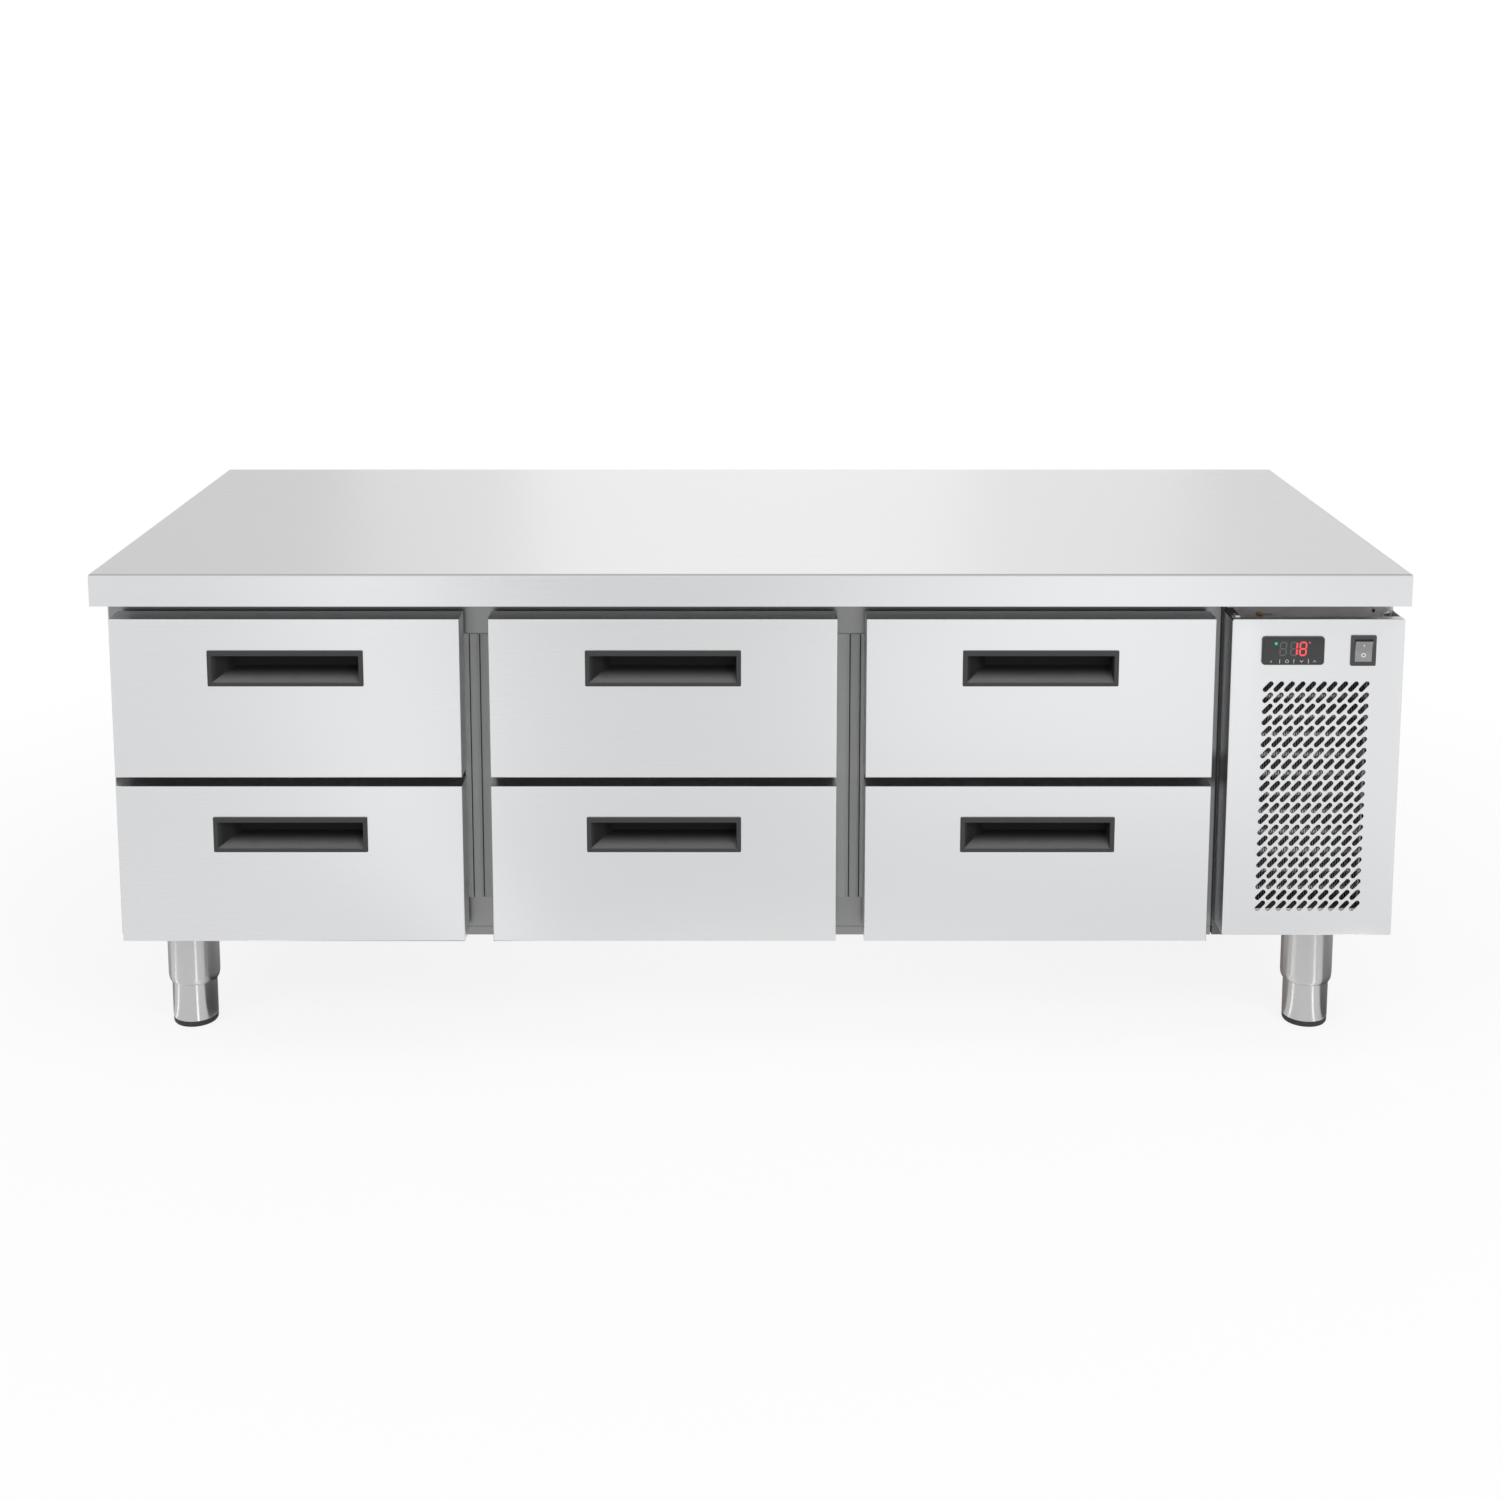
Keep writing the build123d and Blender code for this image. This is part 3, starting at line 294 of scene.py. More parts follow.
def grained_steel(name, tone, roughness, grain, stretch=0.0, metallic=1.0, fold_painted_shade=0.0):
    """Rolled and brushed sheet: long fine streaks along the grain, and slow cloudy changes
    of tone and gloss from the rolling. Stretch draws highlights out across the grain, and
    dull zinc or oxide is less than fully metallic. A tight fold between a level and an
    upright side is painted darker, as painted shade along the bend."""
    tone_spread, rough_spread = 0.028, 0.06

    def pattern(place):
        streaks = noise(place, grain, 3.0, 0.6)
        clouds = noise(place, (1.6, 1.6, 1.6), 1.0)
        dark = [t * (1.0 - tone_spread) for t in tone]
        light = [min(1.0, t * (1.0 + tone_spread)) for t in tone]
        colour = tint(streaks * 0.55 + clouds * 0.45, dark, light)
        # Painted shade: a dark tone painted along folds, where the surface turns from level to upright.
        if fold_painted_shade:
            up = facing_up(place)
            fold_shade_mask = up * up * (1.0 - up * up) * 4.0
            colour = tint(fold_shade_mask * fold_painted_shade, colour, (0.20, 0.20, 0.205))
        rough = streaks * 0.07 + clouds * 0.05 + (roughness - rough_spread)
        return {"Base Color": colour, "Roughness": rough, "Normal": bump(streaks, 0.03, 0.0003)}
    return finish(name, {"Metallic": metallic, "Anisotropic": stretch,
                         "Anisotropic Rotation": 0.25 * (stretch > 0)}, pattern)


def dress(material, *nodes):
    """Puts a finish on the material slots of CAD nodes."""
    for node in nodes:
        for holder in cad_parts[node].material_slots:
            holder.material = material


along_counter = (5.0, 800.0, 800.0)
satin_tone, satin_roughness = (0.745, 0.75, 0.757), 0.29
# The worktop's folds get a line of painted shade.
dress(grained_steel("worktop_stainless", satin_tone, satin_roughness, along_counter, fold_painted_shade=0.65),
      "worktop")


def board_pattern(place):
    """Board sealed with a dark grey foil: faint chips press through."""
    chips = noise(place, (160.0, 160.0, 160.0), 3.0, 0.7)
    return {"Base Color": tint(chips, (0.085, 0.085, 0.088), (0.13, 0.13, 0.134)),
            "Roughness": chips * 0.2 + 0.5, "Normal": bump(chips, 0.3, 0.0005)}


dress(finish("sealed_board", {}, board_pattern), "worktop_core")


# The cabinet: side, back, base and partition sheets round foam, the chamber's stainless
# liner, and the folded frame round the six drawer openings.
dress(grained_steel("cabinet_stainless", (0.66, 0.665, 0.675), 0.34, along_counter), "outer_casing")
liner_sheet = grained_steel("liner_stainless", (0.68, 0.685, 0.69), 0.38, along_counter)
dress(liner_sheet, "inner_liner", "divider_panels")
lower_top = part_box("drawer_front_left_lower")[1][2]
upper_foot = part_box("drawer_front_left_upper")[0][2]
row_gap_z, gap_shade_half, unshaded_from = (lower_top + upper_foot) / 2, 0.010, 0.030


def frame_pattern(place):
    """Dull brushed sheet, painted nearly black on the rails between the two rows, as painted
    shade in the gap between the drawers."""
    streaks = noise(place, (800.0, 800.0, 5.0), 3.0, 0.6)
    z = place.axis(2)
    # Painted shade: the rails close to the gap between the rows go nearly black.
    unshaded = z.math("ABSOLUTE", z - row_gap_z).ranged(gap_shade_half, unshaded_from, "SMOOTHSTEP")
    painted_gap_shade = tint(streaks, (0.07, 0.07, 0.071), (0.10, 0.10, 0.101))
    plain = tint(streaks, (0.26, 0.262, 0.265), (0.28, 0.282, 0.285))
    return {"Base Color": tint(unshaded, painted_gap_shade, plain), "Roughness": streaks * 0.07 + 0.34,
            "Normal": bump(streaks, 0.03, 0.0003)}


frame_sheet = finish("frame_stainless", {"Metallic": 1.0}, frame_pattern)
dress(frame_sheet, "front_frame")


def foam_pattern(place):
    """Rigid foam: pale yellow with fine cells."""
    cells = noise(place, (500.0, 500.0, 500.0), 2.0)
    return {"Base Color": tint(cells, (0.60, 0.50, 0.26), (0.74, 0.66, 0.42)),
            "Roughness": cells * 0.15 + 0.75, "Normal": bump(cells, 0.3, 0.0004)}


dress(finish("rigid_foam", {}, foam_pattern), "insulation", "evaporator_housing")


# The two posts between the columns: a grey plastic strip down each, with two grooves that
# hold dark strips, a painted shade for the grooves, set off a little from the middle of the
# gap; below them a thin lip of the base pan laps the frame from side to side.
def box_mm(node):
    """Low and high corners of a CAD node in millimetres."""
    low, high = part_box(node)
    return np.array(low) * 1000, np.array(high) * 1000


def lofted(rings, first_cap=False, last_cap=False):
    """Skin over closed rings of equal point counts, an array (ring, point, xyz): face
    (i, j) joins points j and j + 1 of ring i to those of ring i + 1. A cap is one face.
    A surface is its points and a list of face arrays."""
    rings = np.asarray(rings, float)
    count, around = rings.shape[:2]
    index = np.arange(count * around).reshape(count, around)
    near, far = index[:-1], index[1:]
    corners = (near, np.roll(near, -1, 1), np.roll(far, -1, 1), far)
    blocks = [np.stack(corners, -1).reshape(-1, 4)]
    if first_cap:
        blocks.append(index[:1, ::-1])
    if last_cap:
        blocks.append(index[-1:])
    return rings.reshape(-1, 3), blocks


def joined(surfaces):
    """Several surfaces as one: their points in a row, and their faces renumbered."""
    starts = np.cumsum([0] + [len(points) for points, _ in surfaces[:-1]])
    blocks = [block + start for start, (_, faces) in zip(starts, surfaces) for block in faces]
    return np.vstack([points for points, _ in surfaces]), blocks


def piece(name, surface, material, body, nodes=()):
    """A new object from a surface in millimetres, smooth but for its sharper edges, which
    rides on a body and may stand for CAD nodes."""
    crease = math.radians(35.0)
    points, blocks = surface
    faces = [face for block in blocks for face in block.tolist()]
    mesh = bpy.data.meshes.new(name)
    mesh.from_pydata((points / 1000).tolist(), [], faces)
    mesh.polygons.foreach_set("use_smooth", np.ones(len(faces), bool))
    mesh.set_sharp_from_angle(angle=crease)
    mesh.materials.append(material)
    thing = bpy.data.objects.new(name, mesh)
    scene.collection.objects.link(thing)
    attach(thing, body)
    if nodes:
        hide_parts(*nodes)


def boxes(low, high):
    """Boxes between arrays of low and high corners, each corner with its x, y and z from
    one or the other."""
    low, high = np.atleast_2d(low).astype(float), np.atleast_2d(high).astype(float)
    pick = np.array([[i & 1, i >> 1 & 1, i >> 2 & 1] for i in range(8)])
    points = np.where(pick, high[:, None], low[:, None])
    faces = np.array([[0, 2, 3, 1], [4, 5, 7, 6], [0, 1, 5, 4], [2, 6, 7, 3], [0, 4, 6, 2], [1, 3, 7, 5]])
    return points.reshape(-1, 3), [(faces + 8 * np.arange(len(low))[:, None, None]).reshape(-1, 4)]


def moulded(name, dark, light, roughness, grain=900.0, shine=0.5):
    """Moulded plastic or rubber: a fine sparked grain over slow changes of gloss."""
    def pattern(place):
        fine = noise(place, (grain, grain, grain), 2.0)
        slow = noise(place, (30.0, 30.0, 30.0), 2.0)
        return {"Base Color": tint(fine * 0.5 + slow * 0.5, dark, light),
                "Roughness": fine * 0.12 + slow * 0.12 + (roughness - 0.12),
                "Normal": bump(fine, 0.25, 0.0002)}
    return finish(name, {"Specular IOR Level": shine}, pattern)


grey_profile = moulded("grey_profile", (0.40, 0.404, 0.406), (0.45, 0.454, 0.456), 0.45)
seal_rubber = moulded("seal_rubber", (0.028, 0.028, 0.029), (0.050, 0.050, 0.052), 0.60)
strip_low, strip_high = box_mm("mullion_profiles")
face, back, half, ease = strip_low[1], strip_high[1], 19.6, 0.35
groove_reach, groove_half, groove_depth = 6.4, 0.8, 1.35
ridge_gap, ridge_half, ridge_top, ridge_rise = 1.9, 0.8, 0.5, 0.6
groove_shade_gap, groove_shade_front, groove_shade_back, groove_shade_end = 0.02, 0.95, 1.3, 0.4
strip_surfaces, groove_shade_low, groove_shade_high = [], [], []
for left_front, right_front, shift in (("left", "middle", -5.4), ("middle", "right", 6.6)):
    left_x = box_mm(f"drawer_front_{left_front}_upper")[1][0]
    right_x = box_mm(f"drawer_front_{right_front}_upper")[0][0]
    middle = (left_x + right_x) / 2
    front_line = [(-half, back), (-half, face + ease), (-half + ease, face)]
    for x in (shift - groove_reach, shift + groove_reach):
        near, far = x - groove_half, x + groove_half
        ridge = near - ease - ridge_gap
        front_line += [(ridge - ridge_half, face), (ridge - ridge_top, face - ridge_rise),
                       (ridge + ridge_top, face - ridge_rise), (ridge + ridge_half, face),
                       (near - ease, face), (near, face + ease), (near, face + groove_depth),
                       (far, face + groove_depth), (far, face + ease), (far + ease, face)]
        groove_shade_low.append((middle + near + groove_shade_gap, face + groove_shade_front, strip_low[2] + groove_shade_end))
        groove_shade_high.append((middle + far - groove_shade_gap, face + groove_shade_back, strip_high[2] - groove_shade_end))
    front_line += [(half - ease, face), (half, face + ease), (half, back)]
    outline = np.array(front_line)
    section = np.stack([middle + outline[:, 0], outline[:, 1]], 1)
    levels = (strip_low[2], strip_low[2] + ease, strip_high[2] - ease, strip_high[2])
    rings = [np.column_stack([section, np.full(len(section), z)]) for z in levels]
    for end in (0, -1):
        depth = rings[end][3:-3, 1]
        depth += ease * (depth < face + 0.1)
    strip_surfaces.append(lofted(rings, True, True))
piece("post_strips", joined(strip_surfaces), grey_profile, "cabinet", ["mullion_profiles"])
# The dark strips in the grooves are painted shade for the grooves.
piece("post_groove_shade", boxes(groove_shade_low, groove_shade_high), seal_rubber, "cabinet")
frame_low, frame_high = box_mm("front_frame")
lip_inset, lip_proud, lip_height, hair = 0.2, 0.7, 11.0, 0.02
piece("base_lip", boxes((frame_low[0] + lip_inset, frame_low[1] - lip_proud, frame_low[2] + lip_inset),
                        (frame_high[0] - lip_inset, frame_low[1] - hair, frame_low[2] + lip_height)),
      frame_sheet, "cabinet")


# The six drawers: a folded stainless front over foam, a black magnetic seal behind it, and
# an open stainless box that hangs between the inner members of its two runners.
satin_sheet = grained_steel("satin_stainless", satin_tone, satin_roughness, along_counter)
zinc_steel = grained_steel("zinc_steel", (0.50, 0.51, 0.52), 0.40, (60.0, 60.0, 60.0))
drawers = [f"{column}_{row}" for column in ("left", "middle", "right") for row in ("lower", "upper")]
for drawer in drawers:
    dress(satin_sheet, f"drawer_front_{drawer}")
    dress(seal_rubber, f"drawer_gasket_{drawer}")
    dress(liner_sheet, f"drawer_box_{drawer}")
    dress(zinc_steel, f"runner_middle_{drawer}")
dress(zinc_steel, "cabinet_runners")


# The recessed handles: one moulding of black plastic each, clipped into the front's
# window, with a flat rim and a finger tub whose floor slopes up to the back.
def front_ring(middle, half, corner, y, steps=5):
    """A rounded rectangle in the XZ plane, anticlockwise from the front: four corner arcs
    of one radius about points inset by it."""
    turn = np.linspace(0, math.pi / 2, steps)
    arcs = []
    for quarter, (side_x, side_z) in enumerate(((1, 1), (-1, 1), (-1, -1), (1, -1))):
        angle = turn + quarter * math.pi / 2
        x = middle[0] + side_x * (half[0] - corner) + corner * np.cos(angle)
        z = middle[1] + side_z * (half[1] - corner) + corner * np.sin(angle)
        arcs.append(np.stack([x, np.full(steps, y), z], 1))
    return np.vstack(arcs)


rim_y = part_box("drawer_handle_left_upper")[0][1]


def handle_pattern(place):
    """Black plastic, lighter where it faces up as painted light, and nearly black on the tub's
    walls and towards its back as painted shade in the recess."""
    fine = noise(place, (900.0, 900.0, 900.0))
    slow = noise(place, (60.0, 60.0, 60.0), 3.0)
    # Painted light: surfaces that face up are made lighter, with a slow ripple.
    painted_top_light = (facing_up(place) + slow * 0.3).ranged(0.35, 1.0)
    depth = place.axis(1) - rim_y
    # Painted shade: the tub's walls and its back are made nearly black.
    wall_shade = depth.ranged(0.001, 0.007) * (1.0 - painted_top_light)
    deep = depth.math("MAXIMUM", depth.ranged(0.003, 0.021, "SMOOTHSTEP"), wall_shade * 0.8)
    front = tint(painted_top_light, (0.052, 0.053, 0.054), (0.15, 0.15, 0.151))
    return {"Base Color": tint(deep, front, (0.010, 0.010, 0.010)),
            "Roughness": fine * 0.12 + slow * 0.12 + 0.45, "Normal": bump(fine, 0.25, 0.0002)}


handle_plastic = finish("handle_plastic", {"Specular IOR Level": 0.12}, handle_pattern)


def handle_skin(drawer):
    """Loft of rounded rectangles: forward along the tub's outside, out over the rim, in at
    the mouth, out behind the top lip, and back along a tub whose floor rises and whose
    left side draws in."""
    low, high = box_mm(f"drawer_handle_{drawer}")
    front = box_mm(f"drawer_front_{drawer}")[0][1]
    middle = np.array([(low[0] + high[0]) / 2, (low[2] + high[2]) / 2])
    half = np.array([(high[0] - low[0]) / 2, (high[2] - low[2]) / 2])
    rim_side, rim_top, rim_bottom = 5.6, 7.0, 5.2
    mouth_middle = middle + [0.0, (rim_bottom - rim_top) / 2]
    mouth_half = half - [rim_side, (rim_bottom + rim_top) / 2]
    hook, edge, sheet, wall = 3.0, 0.6, 1.0, 1.5
    rise, taper_left, taper_right = 15.0, 24.0, 1.0
    tub_middle = mouth_middle + [0.0, hook / 2]
    tub_half = mouth_half + [0.0, hook / 2]
    start, back = front + sheet + 0.4, high[1] - wall

    def tub_rings(shares, thick):
        """Rings of the tub at shares of its depth, grown by a wall's thickness."""
        shares = np.asarray(shares)
        moved = np.array([(taper_left - taper_right) / 2, rise / 2])
        drawn = np.array([(taper_left + taper_right) / 2, rise / 2])
        return [front_ring(tub_middle + moved * s, tub_half - drawn * s + thick, 1.0 + s + thick,
                           start + (back - start) * s + thick * max(0.0, 2 * s - 1)) for s in shares]

    rim = [(middle, half, 1.6, front + 0.05), (middle, half, 1.6, low[1] + edge),
           (middle, half - edge * 0.3, 1.4, low[1] + edge * 0.3), (middle, half - edge, 1.2, low[1]),
           (mouth_middle, mouth_half + edge, 1.4, low[1]),
           (mouth_middle, mouth_half + edge * 0.3, 1.2, low[1] + edge * 0.3),
           (mouth_middle, mouth_half, 1.0, low[1] + edge), (mouth_middle, mouth_half, 1.0, front + sheet)]
    rings = tub_rings((1.0, 0.5, 0.0), wall) + [front_ring(*ring) for ring in rim]
    return lofted(rings + tub_rings((0.0, 0.25, 0.5, 0.75, 0.94, 1.0), 0.0), True, True)


for drawer in drawers:
    piece(f"handle_{drawer}", handle_skin(drawer), handle_plastic, f"drawer_{drawer}",
          [f"drawer_handle_{drawer}"])


# The grille panel: one satin stainless sheet in front of the machine bay, with punched
# slots, two windows for the controls, deep returns at its sides and short lips above and
# below. It hangs on the bay's frame.
panel_low, panel_high = box_mm("grille_panel")
fold, lip_depth, sheet_wall = 1.5, 13.0, 1.0
slot_half_length, slot_half_width, slot_lean = 8.1, 3.1, math.radians(47.0)
controller_window = ((623.7, 509.2), (695.3, 538.8))
switch_window = ((731.2, 507.2), (758.8, 540.8))
slot_columns, column_pitch, field_x = 10, 13.0, 689.5
slot_rows, row_pitch, field_z = 21, 14.0, 338.5
side_parts = 5
side_share = np.linspace(0, 1, side_parts + 1)
cell_x = field_x + column_pitch * (np.arange(slot_columns)[:, None] - slot_columns / 2 + side_share)
cell_z = field_z + row_pitch * (np.arange(slot_rows)[:, None] - slot_rows / 2 + side_share)
for edge in (controller_window[1][0], switch_window[0][0]):
    cell_x[np.abs(cell_x - edge) < 1.0] = edge


def in_cells(x, z):
    """Points of every cell, from x values for each column and z values for each row."""
    return np.stack(np.broadcast_arrays(x[:, None], z), -1)


def slot_cells(y):
    """All cells of the grille: a ring of points on each cell's border and as many on its
    slot, two half circles on a leaning line, joined by a band of faces."""
    border = np.concatenate([
        in_cells(cell_x[:, -1:], cell_z[:, :-1]), in_cells(cell_x[:, :0:-1], cell_z[:, -1:]),
        in_cells(cell_x[:, :1], cell_z[:, :0:-1]), in_cells(cell_x[:, :-1], cell_z[:, :1])], 2)
    turn = np.linspace(-math.pi / 2, math.pi / 2, 2 * side_parts) + slot_lean
    axis = np.array([math.cos(slot_lean), math.sin(slot_lean)])
    end = axis * (slot_half_length - slot_half_width)
    end = end + slot_half_width * np.stack([np.cos(turn), np.sin(turn)], 1)
    middle = in_cells((cell_x[:, :1] + cell_x[:, -1:]) / 2, (cell_z[:, :1] + cell_z[:, -1:]) / 2)
    flat = np.concatenate([border, middle + np.vstack([end, -end])], 2).reshape(-1, 2)
    ring = np.arange(4 * side_parts)
    band = np.stack([ring, np.roll(ring, -1), np.roll(ring, -1) + len(ring), ring + len(ring)], 1)
    faces = band + (np.arange(slot_columns * slot_rows) * 2 * len(ring))[:, None, None]
    return np.stack([flat[:, 0], np.full(len(flat), y), flat[:, 1]], 1), [faces.reshape(-1, 4)]


def plain_tiles(x_lines, z_lines, y, left_out):
    """Rectangles between lines in x and z, without those inside the boxes left out."""
    points = np.stack(np.meshgrid(x_lines, [y], z_lines, indexing="ij"), -1).reshape(-1, 3)
    index = np.arange(len(points)).reshape(len(x_lines), len(z_lines))
    faces = np.stack([index[:-1, :-1], index[1:, :-1], index[1:, 1:], index[:-1, 1:]], -1).reshape(-1, 4)
    centres = points[faces].mean(1)[:, [0, 2]]
    for low, high in left_out:
        inside = np.all((centres > low) & (centres < high), axis=1)
        faces, centres = faces[~inside], centres[~inside]
    return points, [faces]


def folded_edge(lines, base, across, sign, depth, inset):
    """The fold and the return behind one edge of a front: a quarter circle, then a straight
    run back, carried along the edge's points. Across is 0 for x and 2 for z."""
    turn = np.linspace(0, math.pi / 2, 5)
    radius = fold - inset
    out = np.append(radius * np.sin(turn), radius)
    back = np.append(fold - radius * np.cos(turn), depth)
    rows = np.empty((len(out), len(lines), 3))
    rows[:, :, across] = base + sign * out[:, None]
    rows[:, :, 1] = panel_low[1] + back[:, None]
    rows[:, :, 2 - across] = lines
    index = np.arange(rows.shape[0] * rows.shape[1]).reshape(rows.shape[:2])
    corners = [index[:-1, :-1], index[1:, :-1], index[1:, 1:], index[:-1, 1:]]
    outward = sign * (1 if across == 0 else -1) > 0
    return rows.reshape(-1, 3), [np.stack(corners if outward else corners[::-1], -1).reshape(-1, 4)]


def grille_skin(inset):
    """One skin of the panel at a depth into its sheet: slot cells, plain tiles round them,
    and the four folded edges."""
    windows = np.array([controller_window, switch_window])
    lines = []
    for axis, cells, edges in ((0, cell_x, windows[:, :, 0]), (2, cell_z, windows[:, :, 1])):
        ends = [panel_low[axis] + fold, panel_high[axis] - fold]
        lines.append(np.unique(np.round(np.concatenate([ends, cells.ravel(), edges.ravel()]), 4)))
    x_lines, z_lines = lines
    y = panel_low[1] + inset
    field = ((cell_x[0, 0], cell_z[0, 0]), (cell_x[-1, -1], cell_z[-1, -1]))
    deep = panel_high[1] - panel_low[1]
    return joined([slot_cells(y), plain_tiles(x_lines, z_lines, y, [field, *windows]),
                   folded_edge(z_lines, x_lines[0], 0, -1, deep, inset),
                   folded_edge(z_lines, x_lines[-1], 0, 1, deep, inset),
                   folded_edge(x_lines, z_lines[0], 2, -1, lip_depth, inset),
                   folded_edge(x_lines, z_lines[-1], 2, 1, lip_depth, inset)])


def sheet_of(outer, inner):
    """A sheet between two skins with matching points: equal points of the outer skin are
    made one, and faces across the wall close every open edge."""
    points, blocks = outer
    _, first, place = np.unique(np.round(points, 2), axis=0, return_index=True, return_inverse=True)
    blocks = [place.ravel()[block] for block in blocks]
    count = len(first)
    edges = np.vstack([np.stack([block, np.roll(block, -1, 1)], -1).reshape(-1, 2) for block in blocks])
    _, one, times = np.unique(np.sort(edges, 1), axis=0, return_index=True, return_counts=True)
    rim = edges[one[times == 1]]
    rim = np.concatenate([rim[:, ::-1], rim + count], 1)
    both = np.vstack([points[first], inner[0][first]])
    return both, blocks + [block[:, ::-1] + count for block in blocks] + [rim]


piece("grille", sheet_of(grille_skin(0.0), grille_skin(sheet_wall)), satin_sheet, "cabinet",
      ["grille_panel"])


# The machine bay's front frame: zinc-plated channels with a washer-head screw, a brass
# coloured nub and a folded clip, all behind the panel's upper edge. A thin black seal
# closes the seam between it and the cold chamber's frame.
bay_low, bay_high = box_mm("machine_bay_frame")
upright_width, mitre_drop, mitre_slope = 0.015, 0.0075, 0.76


def bay_pattern(place):
    """Dull zinc rails, browned a little by age and painted darker where they face up, as painted
    shade, and a left upright of dark grey, with a mitred upper end."""
    streaks = noise(place, (60.0, 60.0, 60.0), 3.0, 0.6)
    mitre = (bay_high[2] / 1000 - mitre_drop - place.axis(2)) * mitre_slope
    past = place.axis(0) - bay_low[0] / 1000 - mitre.math("MINIMUM", mitre, upright_width)
    upright = tint(streaks, (0.13, 0.13, 0.132), (0.17, 0.17, 0.172))
    zinc = tint(streaks, (0.74, 0.71, 0.71), (0.88, 0.85, 0.85))
    bare = tint(past.ranged(0.0, 0.0005), upright, zinc)
    # Painted shade: surfaces that face up are darkened.
    top_shaded = tint(facing_up(place).ranged(0.2, 0.8), bare, (0.10, 0.097, 0.095))
    return {"Base Color": top_shaded, "Roughness": streaks * 0.1 + 0.55, "Normal": bump(streaks, 0.03, 0.0003)}


dress(finish("bay_steel", {"Metallic": 0.1}, bay_pattern), "machine_bay_frame")
seam_width, seam_proud, bay_face = 2.0, 0.35, frame_low[1]
seam_foot, seam_top = frame_low[2] + lip_height + lip_inset, frame_high[2] - lip_inset
piece("bay_seam", boxes((bay_low[0] - seam_width, bay_face - seam_proud, seam_foot),
                        (bay_low[0], bay_face - hair, seam_top)),
      seal_rubber, "cabinet")


def facing_front(profile, x, z):
    """Surface of revolution about a line towards the front: radius of each ring and how
    far it stands before the bay's frame, from the back to the front."""
    around = 24
    turn = np.linspace(0, 2 * math.pi, around, endpoint=False)
    rings = [np.stack([x + r * np.cos(turn), np.full(around, bay_face - proud), z + r * np.sin(turn)], 1)
             for r, proud in profile]
    return lofted(rings, True, True)


screw_x, screw_z, nub_x = 787.0, 557.0, 629.0
washer = ((6.3, hair), (6.3, 1.1), (5.9, 1.4), (4.3, 1.4), (4.2, 2.6), (3.2, 3.5), (1.4, 3.8), (1.2, 2.9))
piece("washer_screw", facing_front(washer, screw_x, screw_z), zinc_steel, "cabinet")
brass = grained_steel("brass", (0.78, 0.56, 0.30), 0.32, (200.0, 200.0, 200.0))
nub = ((4.0, hair), (4.0, 3.6), (3.6, 4.3), (1.6, 4.5))
piece("bay_nub", facing_front(nub, nub_x, screw_z), brass, "cabinet")
pin_start, pin_end, pin_middle, pin_half = 3.0, 16.0, 2.0, 0.6
nub_pin = boxes((nub_x + pin_start, bay_face - pin_middle - pin_half, screw_z - pin_half),
                (nub_x + pin_end, bay_face - pin_middle + pin_half, screw_z + pin_half))
piece("nub_pin", nub_pin, zinc_steel, "cabinet")


# The controller: a black moulding in the panel's left window, with a smoked lens over
# three figures, a green lamp and a row of touch marks.
control_z = 524.0
face_y = panel_low[1]


def bezel_skin(x, half, proud, corner, well_half, well_corner, well_depth):
    """Loft of rounded rectangles: up the side, over the edge, and in again to a well."""
    middle, edge, front = (x, control_z), 0.8, face_y - proud
    half = np.array(half)
    rings = [front_ring(middle, half, corner, face_y + 0.05),
             front_ring(middle, half, corner, front + edge),
             front_ring(middle, half - edge * 0.3, corner - 0.2, front + edge * 0.3),
             front_ring(middle, half - edge, corner - edge, front)]
    well_half = np.array(well_half)
    rings += [front_ring(middle, well_half + 0.4, well_corner + 0.4, front),
              front_ring(middle, well_half, well_corner, front + 0.4),
              front_ring(middle, well_half, well_corner, front + well_depth)]
    return lofted(rings, True, True)


def bars(strokes, width, y, proud):
    """Flat bars, one from each pair of points, with ends cut square: a thin box each."""
    surfaces = []
    for (x0, z0), (x1, z1) in strokes:
        along = np.array([x1 - x0, z1 - z0], float)
        along /= np.hypot(*along)
        across = np.array([-along[1], along[0]]) * width / 2
        start, end = np.array([x0, z0]), np.array([x1, z1])
        ring = np.array([start - across, end - across, end + across, start + across])
        rings = [np.stack([ring[:, 0], np.full(4, depth), ring[:, 1]], 1) for depth in (y, y - proud)]
        surfaces.append(lofted(rings, True, True))
    return joined(surfaces)


def glowing(name, colour, strength):
    """A lit mark: a dim cloudy glow over a dark base of the same colour."""
    def pattern(place):
        flicker = noise(place, (700.0, 700.0, 700.0), 1.0)
        low = [c * strength * 0.9 for c in colour]
        high = [c * strength for c in colour]
        return {"Emission Color": tint(flicker, low, high),
                "Base Color": tint(flicker, [c * 0.25 for c in colour], [c * 0.35 for c in colour])}
    return finish(name, {"Emission Strength": 1.0, "Roughness": 0.4}, pattern)


bezel_plastic = moulded("bezel_plastic", (0.034, 0.035, 0.036), (0.044, 0.045, 0.047), 0.38)
lens_plastic = moulded("lens_plastic", (0.024, 0.025, 0.026), (0.030, 0.031, 0.032), 0.16, 60.0)
controller_x, bezel_proud, lens_back, lens_front = 659.5, 2.5, 0.8, 0.15
controller_face = face_y - bezel_proud
bezel = bezel_skin(controller_x, (38.0, 17.8), bezel_proud, 4.2, (36.1, 15.9), 3.0, 0.6)
piece("controller_bezel", bezel, bezel_plastic, "cabinet", ["controller"])
lens_rings = [front_ring((controller_x, control_z), (36.0, 15.8), 2.9, controller_face + deep)
              for deep in (lens_back, lens_front)]
piece("controller_glass", lofted(lens_rings, True, True), lens_plastic, "cabinet",
      ["controller_lens"])


